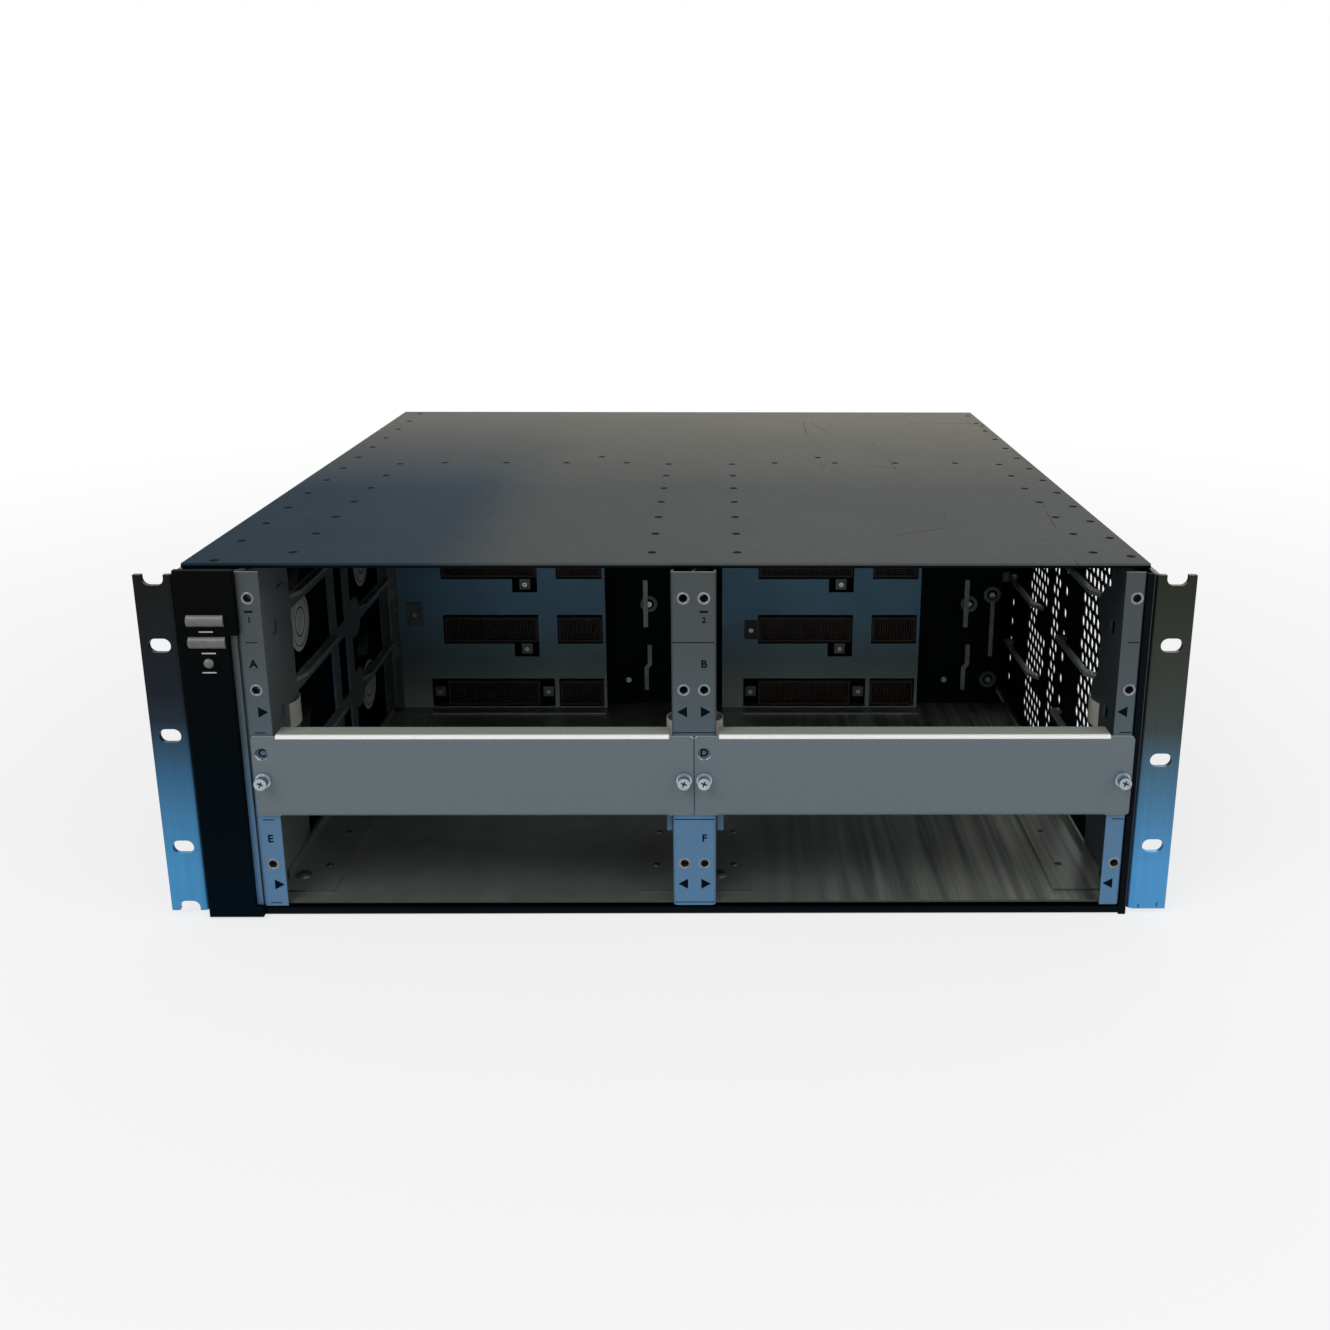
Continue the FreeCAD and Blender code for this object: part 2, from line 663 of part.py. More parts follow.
def led_bezel():
    left, right = BEZEL_X
    shape = [(left, 1.0), (-196.3, 1.0), (-196.3, 6.2), (right, 6.2), (right, 144.2),
             (BEZEL_WIDE, 144.2), (BEZEL_WIDE, 174.9), (left, 174.9)]
    body = plate(shape, "Y", (BEZEL_FRONT, 0))
    rim = [edge for edge in body.Edges
           if all(abs(v.Point.y - BEZEL_FRONT) < 1e-6 for v in edge.Vertexes)]
    body = body.makeFillet(0.8, rim)
    tools = [box((left + 1.6, right - 1.6), (BEZEL_FRONT + 1.6, 1), (8.0, 124.0))]
    for z in (POWER_LENS_Z, FAULT_LENS_Z):
        tools.append(box(LENS_X, (-6, 1), (z - LENS_HEIGHT / 2, z + LENS_HEIGHT / 2)))
    tools.append(rod(LOCATOR_RADIUS, "Y", LOCATOR[0], LOCATOR[1], (-6, 1)))
    return cut_all(body, tools)


def bar_lens(z):
    """Light pipe bar whose face bulges out of the panel."""
    low = z - LENS_HEIGHT / 2 + 0.05
    high = z + LENS_HEIGHT / 2 - 0.05
    bulge = Part.Arc(Vector(0, BEZEL_FRONT, low), Vector(0, BEZEL_FRONT - 1.6, z),
                     Vector(0, BEZEL_FRONT, high)).toShape()
    back = [Vector(0, BEZEL_FRONT, high), Vector(0, 0, high), Vector(0, 0, low),
            Vector(0, BEZEL_FRONT, low)]
    lines = [Part.makeLine(a, b) for a, b in zip(back, back[1:])]
    profile = Part.Face(Part.Wire(Part.__sortEdges__(lines + [bulge])))
    profile.translate(Vector(LENS_X[0] + 0.05, 0, 0))
    return profile.extrude(Vector(LENS_X[1] - LENS_X[0] - 0.1, 0, 0))


def locator_lens():
    radius = LOCATOR_RADIUS - 0.05
    stem = rod(radius, "Y", LOCATOR[0], LOCATOR[1], (BEZEL_FRONT, 0))
    ball = Part.makeSphere(2.7, Vector(LOCATOR[0], BEZEL_FRONT + 1.35, LOCATOR[1]))
    cap = ball.common(rod(radius, "Y", LOCATOR[0], LOCATOR[1], (BEZEL_FRONT - 3, BEZEL_FRONT)))
    return join([stem, cap])


# ---- slot covers and captive screws ----------------------------------------------
COVER_HALF = 103.4
COVER_Z = (53.1, 94.5)
COVER_FLANGE = 9.5
SIGHT_RADIUS = 3.1
SIGHT_Z = 85.1
COVER_SCREW_Z = SLOT_LINES[1] + SCREW_RISE


def blank_cover(bay):
    """Cover over one empty slot, its top and bottom folded back between the posts."""
    low, high = COVER_Z
    path = [(COVER_FLANGE, high), (-SHEET, high), (-SHEET, low), (COVER_FLANGE, low)]
    trough = folded(path, "X", (bay - 92.0, bay + 92.0))
    corner = 2.0
    wings = []
    for side in (-1, 1):
        x = sorted((bay + side * 92.0, bay + side * COVER_HALF))
        wing = box(tuple(x), (-SHEET, 0), (low + 0.6, high - 0.6))
        edge_x = bay + side * COVER_HALF
        rims = [e for e in wing.Edges if abs(e.CenterOfMass.x - edge_x) < 1e-6
                and abs(e.CenterOfMass.y + SHEET / 2) < 1e-6]
        wings.append(wing.makeFillet(corner, rims))
    cover = join([trough] + wings)
    tools = [rod(POST_HOLE, "Y", bay + side * SCREW_HALF, COVER_SCREW_Z, (-2, 1))
             for side in (-1, 1)]
    tools.append(rod(SIGHT_RADIUS, "Y", bay - SCREW_HALF, SIGHT_Z, (-2, 1)))
    return cut_all(cover, tools)


HEAD_RADIUS = 2.95
HEAD_LENGTH = 5.6
COLLAR_RADIUS = 3.7
SHANK_RADIUS = 1.9


def captive_screw(x, z, face, way, head, length, shank, reach):
    """Screw with a collar, a driver socket in its head and a shank through the panel.

    face is where its collar bears, and way is -1 where the head points to the front.
    """
    def along_y(start, end):
        return tuple(sorted((face + way * start, face + way * end)))
    collar = rod(head + 0.75, "Y", x, z, along_y(GAP, 1.0))
    stem = rod(head, "Y", x, z, along_y(GAP, length))
    pin = rod(shank, "Y", x, z, along_y(-reach, GAP))
    socket = plate(hexagon(x, z, head * 0.95), "Y", along_y(length - 2.2, length + 1))
    return join([collar, stem, pin]).cut(socket)


# ---- fan tray pieces -------------------------------------------------------------
TRAY_WINDOW_Y = (256.0, 448.0)


def fan_tray_frame():
    """Channel that slides along the base pan and holds the four fans, open behind them."""
    outer = FAN_X[0] - GAP - THIN_SHEET
    inner = FAN_X[1]
    low = FAN_PLACES[0][1] - FAN_SIZE / 2 - GAP - THIN_SHEET
    high = FAN_PLACES[1][1] + FAN_SIZE / 2 + GAP + THIN_SHEET
    path = [(inner, high), (outer, high), (outer, low), (inner, low)]
    channel = folded(path, "Y", (TRAY_FRONT, END_PLATE_Y), THIN_SHEET, 0.2)
    through = (outer - 1, outer + THIN_SHEET + 1)
    holes = [rod(FAN_BORE, "X", y, z, through) for y, z in FAN_PLACES]
    holes.append(box(through, TRAY_WINDOW_Y, (low + 8.0, high - 8.0)))
    return cut_all(channel, holes)


def tray_end_plate():
    sheet = (END_PLATE_Y + GAP, END_PLATE_Y + GAP + 1.5)
    end = box((-221.6, -188.0), sheet, (2.0, 173.0))
    rims = [e for e in end.Edges if e.Length < 2 and abs(e.CenterOfMass.y - sum(sheet) / 2) < 1e-6]
    end = end.makeFillet(3.0, rims)
    holes = [rod(TRAY_SHANK + 0.08, "Y", TRAY_SCREW_X, z, (sheet[0] - 1, sheet[1] + 1))
             for z in TRAY_SCREW_Z]
    return cut_all(end, holes)


HANDLE_X = -205.5
HANDLE_Z = (58.0, 117.0)
HANDLE_REACH = 24.0


def tray_handle():
    """Pull handle bent from flat bar, its feet against the end plate."""
    y = END_PLATE_Y + GAP + 1.5 + GAP
    low, high = HANDLE_Z
    path = [(y, low - 12), (y, low), (y + HANDLE_REACH, low), (y + HANDLE_REACH, high),
            (y, high), (y, high + 12)]
    return folded(path[::-1], "X", (HANDLE_X - 6, HANDLE_X + 6), 2.0, 2.5)


def fan_frame(y, z):
    """Square fan housing with its round duct, four struts and the motor base."""
    half = FAN_SIZE / 2
    housing = box(FAN_X, (y - half, y + half), (z - half, z + half))
    uprights = [e for e in housing.Edges if abs(e.Length - (FAN_X[1] - FAN_X[0])) < 1e-6]
    housing = housing.makeFillet(4.0, uprights)
    housing = housing.cut(rod(FAN_BORE, "X", y, z, (FAN_X[0] - 1, FAN_X[1] + 1)))
    base_x = (FAN_X[0], FAN_X[0] + 3.0)
    base = rod(HUB_RADIUS - 1.0, "X", y, z, base_x)
    arms = []
    for quarter in range(4):
        arm = box((FAN_X[0], FAN_X[0] + 2.4), (y + 10, y + FAN_BORE + 1.5), (z - 1.5, z + 1.5))
        arm.rotate(Vector(0, y, z), Vector(1, 0, 0), 30 + 90 * quarter)
        arms.append(arm)
    frame = join([housing, base] + arms)
    return frame.cut(rod(SHAFT_RADIUS + 0.06, "X", y, z, (FAN_X[0] - 1, FAN_X[0] + 4)))


BLADES = 7
BLADE_X = (FAN_X[0] + 4.4, FAN_X[1] - 1.6)


def blade_section(reach, sweep, y, z):
    """Thin section across a blade at its reach from the axis, pitched by its sweep."""
    front, rear = BLADE_X
    corners = [(front, -sweep), (rear, sweep), (rear, sweep + 1.4), (front, 1.4 - sweep)]
    points = [Vector(x, y + reach, z + t) for x, t in corners]
    return Part.makePolygon(points + points[:1])


def fan_rotor(y, z):
    """Hub with pitched blades, turning on a shaft in the motor base."""
    hub = rod(HUB_RADIUS, "X", y, z, (FAN_X[0] + 3.6, FAN_X[1] - 0.6))
    rim = [e for e in hub.Edges if abs(e.CenterOfMass.x - (FAN_X[1] - 0.6)) < 1e-6]
    hub = hub.makeChamfer(1.2, rim)
    sections = [blade_section(HUB_RADIUS - 4.0, 6.0, y, z), blade_section(FAN_TIP + 2, 9.5, y, z)]
    swept = rod(FAN_TIP, "X", y, z, (FAN_X[0], FAN_X[1]))
    first = Part.makeLoft(sections, True, True).common(swept)
    blades = []
    for number in range(BLADES):
        blade = first.copy()
        blade.rotate(Vector(0, y, z), Vector(1, 0, 0), 360.0 / BLADES * number)
        blades.append(blade)
    shaft = rod(SHAFT_RADIUS, "X", y, z, (FAN_X[0] + 0.4, FAN_X[0] + 3.6))
    return join([hub, shaft] + blades)


# ---- assembly --------------------------------------------------------------------
def build():
    add("base_pan", base_pan())
    add("floor_sheet", floor_sheet())
    add("top_cover", top_cover())
    add("left_side_wall", left_side_wall())
    add("right_side_wall", right_side_wall())
    add("rear_panel", rear_panel())
    add("bay_wall", bay_wall())
    add("centre_divider", centre_divider())
    add("left_post", outer_post(BAYS[0] - OPENING_HALF, POST_LEFT, LEAF_LEFT,
                                BAYS[0] - SCREW_HALF))
    add("right_post", outer_post(BAYS[1] + OPENING_HALF, POST_RIGHT, LEAF_RIGHT,
                                 BAYS[1] + SCREW_HALF))
    add("centre_post", centre_post())
    add("earth_springs", earth_spring(LEAF_LEFT + SHEET, 1), earth_spring(LEAF_RIGHT - SHEET, -1))

    add("left_guide_rails", *guide_rails(BAYS[0] - RAIL_TIP, BAY_WALL_X + GAP))
    add("right_guide_rails", *guide_rails(BAYS[1] + RAIL_TIP, WALL_INNER - GAP,
                                          RIGHT_RAIL_SPANS))
    middle = THIN_SHEET / 2 + GAP
    add("centre_guide_rails", *guide_rails(BAYS[0] + RAIL_TIP, BAY_MID - middle),
        *guide_rails(BAYS[1] - RAIL_TIP, BAY_MID + middle))
    add("floor_guides", *flat_guides(FLOOR_TOP + GAP, 11.0, 5.0))
    add("top_guides", *flat_guides(COVER_UNDER - GAP, COVER_SETBACK + HEM_LENGTH + 1.0, -5.0))

    add("backplane_shield_left", shield(BAYS[0], SHIELD_STARTS[0]))
    add("backplane_shield_right", shield(BAYS[1], SHIELD_STARTS[1]))
    add("shield_bracket", shield_bracket())
    add("backplane_board", box(BOARD_X, (BOARD_Y, BOARD_Y + BOARD_THICK),
                               (FLOOR_TOP + GAP, 171.0)))
    add("long_connectors", *[c for bay in BAYS
                             for c in connectors(bay, LONG_WINDOW, range(3), BOARD_Y)])
    add("short_connectors", *[c for bay in BAYS
                              for c in connectors(bay, SHORT_WINDOW, range(4), BOARD_Y)])
    add("connector_clamps", *connector_clamps())
    add("board_bars", *board_bars())
    add("board_standoffs", *board_standoffs())

    add("power_bay_shelf", power_shelf())
    add("power_bay_divider", power_divider())
    add("power_bay_blank_left", power_blank(POWER_BAY_X[0]))
    add("power_bay_blank_right", power_blank(POWER_BAY_X[1]))
    blank_face = REAR + GAP + BLANK_SHEET
    add("power_blank_screws", *[pan_screw(x, z, blank_face) for x, z in BLANK_SCREWS])

    add("rack_ear_left", rack_ear(-1, LEFT_EAR_SLOTS))
    add("rack_ear_right", rack_ear(1, RIGHT_EAR_SLOTS))
    add("ear_screws", *ear_screws(-1), *ear_screws(1))

    add("led_bezel", led_bezel())
    add("power_lens", bar_lens(POWER_LENS_Z))
    add("fault_lens", bar_lens(FAULT_LENS_Z))
    add("locator_lens", locator_lens())

    add("blank_cover_left", blank_cover(BAYS[0]))
    add("blank_cover_right", blank_cover(BAYS[1]))
    places = [bay + side * SCREW_HALF for bay in BAYS for side in (-1, 1)]
    for number, x in enumerate(places, 1):
        add("cover_screw_%d" % number, captive_screw(x, COVER_SCREW_Z, -SHEET, -1, HEAD_RADIUS,
                                                     HEAD_LENGTH, SHANK_RADIUS, 5.0))

    add("fan_tray_frame", fan_tray_frame())
    add("tray_end_plate", tray_end_plate())
    add("tray_handle", tray_handle())
    thumb_face = END_PLATE_Y + GAP + 1.5
    for name, z in zip(("lower", "upper"), TRAY_SCREW_Z):
        add("tray_screw_" + name, captive_screw(TRAY_SCREW_X, z, thumb_face, 1, 2.8, 8.0,
                                                TRAY_SHANK, 7.0))
    for number, (y, z) in enumerate(FAN_PLACES, 1):
        add("fan_frame_%d" % number, fan_frame(y, z))
        add("fan_rotor_%d" % number, fan_rotor(y, z))


def export():
    bounds = FreeCAD.BoundBox()
    for shape in NODES.values():
        bounds.add(shape.BoundBox)
    middle = (bounds.YMin + bounds.YMax) / 2
    os.makedirs("parts", exist_ok=True)
    for name, shape in NODES.items():
        moved = shape.copy()
        moved.translate(Vector(0, -middle, 0))
        moved.exportStep("parts/%s.step" % name)
    print("front plane at y = %.3f" % -middle)
    print("bounds", bounds)


build()
export()
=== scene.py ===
# %% [markdown]
# # A modular switch chassis, dressed
# The chassis is pressed steel sheet: a painted outer case, bare zinc-coated sheet inside,
# and plated ears that bolt it into a rack. Its solids come ready made from the CAD model.
# This notebook gives them their finishes, adds the small things that were too fine for the
# solids, and sets up a floor, soft lamps and a camera.

# %% Load the frame
import bpy
import bmesh
import json
import math
from mathutils import Matrix, Vector


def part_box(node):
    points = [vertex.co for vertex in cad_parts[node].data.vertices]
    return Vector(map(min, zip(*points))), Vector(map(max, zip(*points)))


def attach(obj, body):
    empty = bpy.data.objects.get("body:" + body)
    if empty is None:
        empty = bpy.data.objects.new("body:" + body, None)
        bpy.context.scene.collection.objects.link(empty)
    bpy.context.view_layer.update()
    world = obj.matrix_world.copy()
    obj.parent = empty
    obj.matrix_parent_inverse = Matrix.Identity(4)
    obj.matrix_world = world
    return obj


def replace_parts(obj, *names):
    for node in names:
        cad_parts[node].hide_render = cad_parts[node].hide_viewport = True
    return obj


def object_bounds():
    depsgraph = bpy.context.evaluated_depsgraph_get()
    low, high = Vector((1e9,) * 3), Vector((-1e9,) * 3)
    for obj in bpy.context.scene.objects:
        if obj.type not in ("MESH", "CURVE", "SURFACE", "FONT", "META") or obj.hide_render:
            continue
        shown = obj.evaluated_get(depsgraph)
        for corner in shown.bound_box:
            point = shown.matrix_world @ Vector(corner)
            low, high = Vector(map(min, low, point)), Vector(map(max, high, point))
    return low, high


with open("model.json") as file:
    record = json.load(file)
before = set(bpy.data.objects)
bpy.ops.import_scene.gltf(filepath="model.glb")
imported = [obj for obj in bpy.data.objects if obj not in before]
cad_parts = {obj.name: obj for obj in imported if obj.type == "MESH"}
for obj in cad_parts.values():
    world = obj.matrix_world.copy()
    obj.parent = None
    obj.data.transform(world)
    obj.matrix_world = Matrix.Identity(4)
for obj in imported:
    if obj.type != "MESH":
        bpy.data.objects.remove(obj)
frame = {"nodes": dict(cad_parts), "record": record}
cad_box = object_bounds()
nodes = frame["nodes"]
print("loaded", len(nodes), "solids, box", cad_box)

# %% [markdown]
# ## Where things are
# The drawing of the chassis measures in millimetres, back from the front face of the slot
# posts and up from the underside of the pan. Blender works in metres from the middle of the
# object. One small function turns a drawing place into a Blender point, and the front face
# is read from the left post, so the two always agree. Slots stand one rack unit apart.

# %% Drawing places
RACK_UNIT = 44.45
LOWEST_LINE = 6.55
HALF_IN_MM = 500
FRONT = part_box("left_post")[0].y
SLOT_LINES = [LOWEST_LINE + RACK_UNIT * row for row in range(4)]
BAYS = [sum(v.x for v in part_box("blank_cover_" + side)) * HALF_IN_MM for side in ("left", "right")]


def place(x, y, z):
    return Vector((x / 1000, FRONT + y / 1000, z / 1000))


print("front face", round(FRONT, 5), "bay middles", [round(b, 2) for b in BAYS])

# %% [markdown]
# ## Patterns on the object
# Every finish here is worked out from the point's own place on the object, so nothing slides
# when the view turns. `grain` gives soft random patches, stretched where a sheet was rolled or
# brushed, and `cells` gives random crystals. `along` tells how far along the object a point
# lies, `faces` tells which way its surface looks, and `maths` joins two such numbers.

# %% Pattern steps
class Pattern:
    """Steps of a material that turn a place on the object into a number."""

    def __init__(self, name):
        self.material = bpy.data.materials.new(name)
        self.material.use_nodes = True
        self.tree = self.material.node_tree
        self.place = self.tree.nodes.new("ShaderNodeTexCoord").outputs["Object"]

    def node(self, kind, **settings):
        made = self.tree.nodes.new(kind)
        for key, value in settings.items():
            setattr(made, key, value)
        return made

    def link(self, source, socket):
        self.tree.links.new(source, socket)

    def stretched(self, stretch, turn=(0, 0, 0)):
        mapping = self.node("ShaderNodeMapping")
        mapping.inputs["Scale"].default_value = stretch
        mapping.inputs["Rotation"].default_value = turn
        self.link(self.place, mapping.inputs["Vector"])
        return mapping.outputs["Vector"]

    def grain(self, scale, stretch=(1, 1, 1), detail=4.0):
        noise = self.node("ShaderNodeTexNoise")
        noise.inputs["Scale"].default_value = scale
        noise.inputs["Detail"].default_value = detail
        self.link(self.stretched(stretch), noise.inputs["Vector"])
        return noise.outputs["Fac"]

    def cells(self, scale, stretch=(1, 1, 1)):
        cell = self.node("ShaderNodeTexVoronoi")
        cell.inputs["Scale"].default_value = scale
        self.link(self.stretched(stretch), cell.inputs["Vector"])
        return cell.outputs["Color"]

    def one_of(self, vector, axis):
        """The X, Y or Z number of a place or a direction."""
        numbers = self.node("ShaderNodeSeparateXYZ")
        self.link(vector, numbers.inputs[0])
        return numbers.outputs[axis]

    def along(self, axis, low, high):
        """0 at low and 1 at high, in metres along X, Y or Z."""
        span = self.node("ShaderNodeMapRange")
        span.inputs["From Min"].default_value = low
        span.inputs["From Max"].default_value = high
        self.link(self.one_of(self.place, axis), span.inputs["Value"])
        return span.outputs["Result"]

    def faces(self, axis):
        """How much a face looks along X, Y or Z of the object, from -1 to 1."""
        return self.one_of(self.node("ShaderNodeTexCoord").outputs["Normal"], axis)

    def faces_front(self):
        """1 on a face that looks to the front, and 0 on all others."""
        return self.maths("LESS_THAN", self.faces("Y"), -0.5)

    def maths(self, operation, first, second):
        """One step of arithmetic; each value is a float or another step's result."""
        made = self.node("ShaderNodeMath", operation=operation)
        for socket, value in zip(made.inputs, (first, second)):
            if isinstance(value, float):
                socket.default_value = value
            else:
                self.link(value, socket)
        return made.outputs[0]


print("pattern steps:", [step for step in vars(Pattern) if not step.startswith("_")])

# %% [markdown]
# ## From patterns to a finish
# A finish joins patterns to the shader, which is the step that light meets. `blend_colours`
# turns a number into a colour by stops, and `between` is its short form for one dark and one
# light colour. `times` tints one colour with another, `varies` moves a setting of the shader,
# and `relief` makes bumps that are too small to be worth cutting.

# %% Finish steps
MIX_FIRST, MIX_SECOND, MIX_RESULT = 6, 7, 2  # a Mix step's sockets for colours


class Finish(Pattern):
    """One material, from its patterns to its shader."""

    def __init__(self, name, roughness, metallic=0.0, specular=0.5):
        super().__init__(name)
        self.shader = self.tree.nodes["Principled BSDF"]
        self.shader.inputs["Roughness"].default_value = roughness
        self.shader.inputs["Metallic"].default_value = metallic
        self.shader.inputs["Specular IOR Level"].default_value = specular

    def blend_colours(self, amount, stops):
        ramp = self.node("ShaderNodeValToRGB")
        elements = ramp.color_ramp.elements
        while len(elements) < len(stops):
            elements.new(0.5)
        for element, (position, colour) in zip(elements, stops):
            element.position = position
            element.color = (*colour, 1)
        self.link(amount, ramp.inputs["Fac"])
        return ramp.outputs["Color"]

    def between(self, amount, dark, light, start=0.3, end=0.7):
        return self.blend_colours(amount, [(start, dark), (end, light)])

    def mix(self, amount, first, second, kind="MIX"):
        mixed = self.node("ShaderNodeMix", data_type="RGBA", blend_type=kind)
        if isinstance(amount, float):
            mixed.inputs["Factor"].default_value = amount
        else:
            self.link(amount, mixed.inputs["Factor"])
        self.link(first, mixed.inputs[MIX_FIRST])
        self.link(second, mixed.inputs[MIX_SECOND])
        return mixed.outputs[MIX_RESULT]

    def times(self, first, second):
        return self.mix(1.0, first, second, "MULTIPLY")

    def colour(self, value):
        self.link(value, self.shader.inputs["Base Color"])

    def varies(self, setting, amount, low, high):
        span = self.node("ShaderNodeMapRange")
        span.inputs["To Min"].default_value = low
        span.inputs["To Max"].default_value = high
        self.link(amount, span.inputs["Value"])
        self.link(span.outputs["Result"], self.shader.inputs[setting])

    def gloss_varies(self, amount, low, high):
        self.varies("Roughness", amount, low, high)

    def relief(self, height, strength, distance=0.0002):
        bump = self.node("ShaderNodeBump")
        bump.inputs["Strength"].default_value = strength
        bump.inputs["Distance"].default_value = distance
        self.link(height, bump.inputs["Height"])
        self.link(bump.outputs["Normal"], self.shader.inputs["Normal"])


def grey(value):
    return (value, value, value)


def tell(*finishes):
    for finish in finishes:
        print(finish.material.name, "takes", len(finish.tree.nodes), "steps")


print("finish steps:", [step for step in vars(Finish) if not step.startswith("_")])

# %% [markdown]
# ## Charcoal powder coat
# The outer case is sprayed with powder that melts into a satin skin with a faint orange peel.
# A fine noise gives the peel as relief, and a slow one the patches where hands and dust have
# dulled it. The folds and the inside faces are darker with painted shade, while the outside of
# the sides and the rear is lighter and shinier, so the finish asks where a point lies and which
# way it looks.

# %% Charcoal coat
SIDE_SKIN = 0.2218  # metres from the middle; only the outside faces lie beyond it
DULL, SHINY = 0.025, 0.3
coat = Finish("charcoal_powder_coat", 0.42, specular=DULL)
patches = coat.grain(7, detail=3)
# Painted shade: the folds and inside faces take the darker colour, the outside faces the coat
# itself.
inner = coat.between(patches, (0.002, 0.004, 0.0065), (0.0035, 0.0058, 0.009))
outer = coat.between(patches, (0.012, 0.015, 0.019), (0.018, 0.021, 0.024))
from_middle = coat.maths("ABSOLUTE", coat.one_of(coat.place, "X"), 0.0)
sides = coat.maths("GREATER_THAN", from_middle, SIDE_SKIN)
outside = coat.maths("MAXIMUM", sides, coat.maths("GREATER_THAN", coat.faces("Y"), 0.5))
coat.colour(coat.mix(outside, inner, outer))
coat.varies("Specular IOR Level", outside, DULL, SHINY)
coat.gloss_varies(coat.grain(26, detail=5), 0.36, 0.5)
coat.relief(coat.grain(1500, detail=2), 0.12)
tell(coat)

# %% [markdown]
# The top sheet has its own version. Its colour is a painted reflection: bluish and dark at its
# near left corner, and lighter to the rear and to the right, so two rows of colour stops run
# across it, one near and one far, and a blend runs from the first to the second.

# %% Coat of the top
HALF_WIDTH = 0.2225
top = Finish("charcoal_coat_scratched", 0.42, specular=0.012)
across = top.along("X", -HALF_WIDTH, HALF_WIDTH)
# Painted reflection: bluish and dark at the near left, lighter to the rear and to the right.
near = top.blend_colours(across, [(0.0, (0.01, 0.027, 0.044)), (0.24, (0.022, 0.041, 0.058)),
                                  (0.34, (0.072, 0.08, 0.078)), (1.0, (0.092, 0.098, 0.094))])
far = top.blend_colours(across, [(0.0, (0.15, 0.148, 0.13)), (0.5, (0.175, 0.171, 0.14)),
                                 (1.0, (0.21, 0.198, 0.152))])
coated = top.mix(top.along("Y", -0.07, 0.2), near, far)
for scale, dark in ((7, 0.9), (420, 0.84)):
    coated = top.times(coated, top.between(top.grain(scale, detail=5), grey(dark), grey(1)))
tell(top)

# %% [markdown]
# It also carries fine scratches, most of them on the right. A scratch is the border between
# two very large random cells, which is straight and hair thin, and a noise breaks it into
# short lengths. Where the sheet folds down at its edges it is unscratched and dark with painted
# shade.

# %% Scratches and fold
HAIR, BROKEN_ABOVE, RIGHT_PART = 0.0024, 0.57, 0.66
borders = top.node("ShaderNodeTexVoronoi", feature="DISTANCE_TO_EDGE")
borders.inputs["Scale"].default_value = 9
top.link(top.stretched((1.6, 0.55, 1), (0, 0, 0.5)), borders.inputs["Vector"])
thin = top.maths("LESS_THAN", borders.outputs["Distance"], HAIR)
broken = top.maths("GREATER_THAN", top.grain(16, detail=2), BROKEN_ABOVE)
right = top.maths("GREATER_THAN", across, RIGHT_PART)
marks = top.maths("MULTIPLY", top.maths("MULTIPLY", thin, broken), right)
scratch = top.between(top.grain(80), (0.02, 0.02, 0.02), (0.05, 0.05, 0.045), 0.0, 1.0)
coated = top.mix(marks, coated, scratch)
# Painted shade: every face of the top that doesn't look up takes this dark colour.
fold = top.between(top.grain(60), (0.002, 0.004, 0.007), (0.004, 0.007, 0.01), 0.0, 1.0)
top.colour(top.mix(top.maths("GREATER_THAN", top.faces("Z"), 0.3), fold, coated))
top.gloss_varies(top.grain(26, detail=5), 0.42, 0.5)
top.relief(top.grain(1500, detail=2), 0.12)
tell(top)

# %% [markdown]
# ## Grey satin paint
# Small parts wear a cool grey with fine specks. The slot covers share it, but their flange,
# which looks up, is painted paler as light from above, and the fold between face and flange
# carries a painted highlight: their colour stops run over the way that the surface looks.

# %% Grey paint and covers
PEEL_SIZE = 900


def spray(finish, colour, fleck_dark, patch_scale, gloss, peel):
    """Flecks on a colour, patches of gloss and a little orange peel."""
    fleck = finish.between(finish.grain(PEEL_SIZE, detail=2), grey(fleck_dark), grey(1))
    finish.colour(finish.times(colour, fleck))
    finish.gloss_varies(finish.grain(patch_scale, detail=4), *gloss)
    finish.relief(finish.grain(PEEL_SIZE, detail=2), peel)


paint = Finish("grey_satin_paint", 0.45, specular=0.4)
speck = paint.grain(PEEL_SIZE, detail=2)
paint.colour(paint.between(speck, (0.105, 0.128, 0.14), (0.122, 0.147, 0.158), 0.35, 0.65))
paint.gloss_varies(paint.grain(30, detail=4), 0.4, 0.52)
paint.relief(speck, 0.18)

# FACE is the paint itself; EDGE is a painted highlight and FLANGE painted light from above.
FACE, EDGE, FLANGE = (0.128, 0.162, 0.182), (0.95, 0.97, 0.93), (0.345, 0.37, 0.33)
covers = Finish("cover_paint", 0.45, specular=0.4)
painted_light_tone = covers.blend_colours(covers.faces("Z"), [(0.0, FACE), (0.12, FACE), (0.3, EDGE),
                                                (0.9, EDGE), (0.99, FLANGE)])
spray(covers, painted_light_tone, 0.9, 30, (0.4, 0.52), 0.18)
tell(paint, covers)

# %% [markdown]
# The posts carry a painted reflection: a neutral grey at the top that turns to a clear blue at
# the bottom, but only on the faces that look to the front. The leaves behind them are a plain
# grey that painted shade darkens to the right, so a blend picks one of the two by the way that
# a face looks.

# %% Post paint
HEIGHT = 0.175
posts = Finish("post_paint", 0.42, specular=0.45)
# Painted reflection: darker grey above and blue below, on the front faces only.
tone = posts.blend_colours(posts.along("Z", 0.0, HEIGHT),
                           [(0.0, (0.085, 0.21, 0.38)), (0.3, (0.077, 0.187, 0.33)),
                            (0.54, (0.058, 0.09, 0.112)), (0.8, (0.046, 0.06, 0.063)),
                            (1.0, (0.044, 0.055, 0.055))])
leaf = posts.between(posts.grain(30, (1, 1, 0.3)), (0.09, 0.105, 0.105), (0.13, 0.145, 0.145))
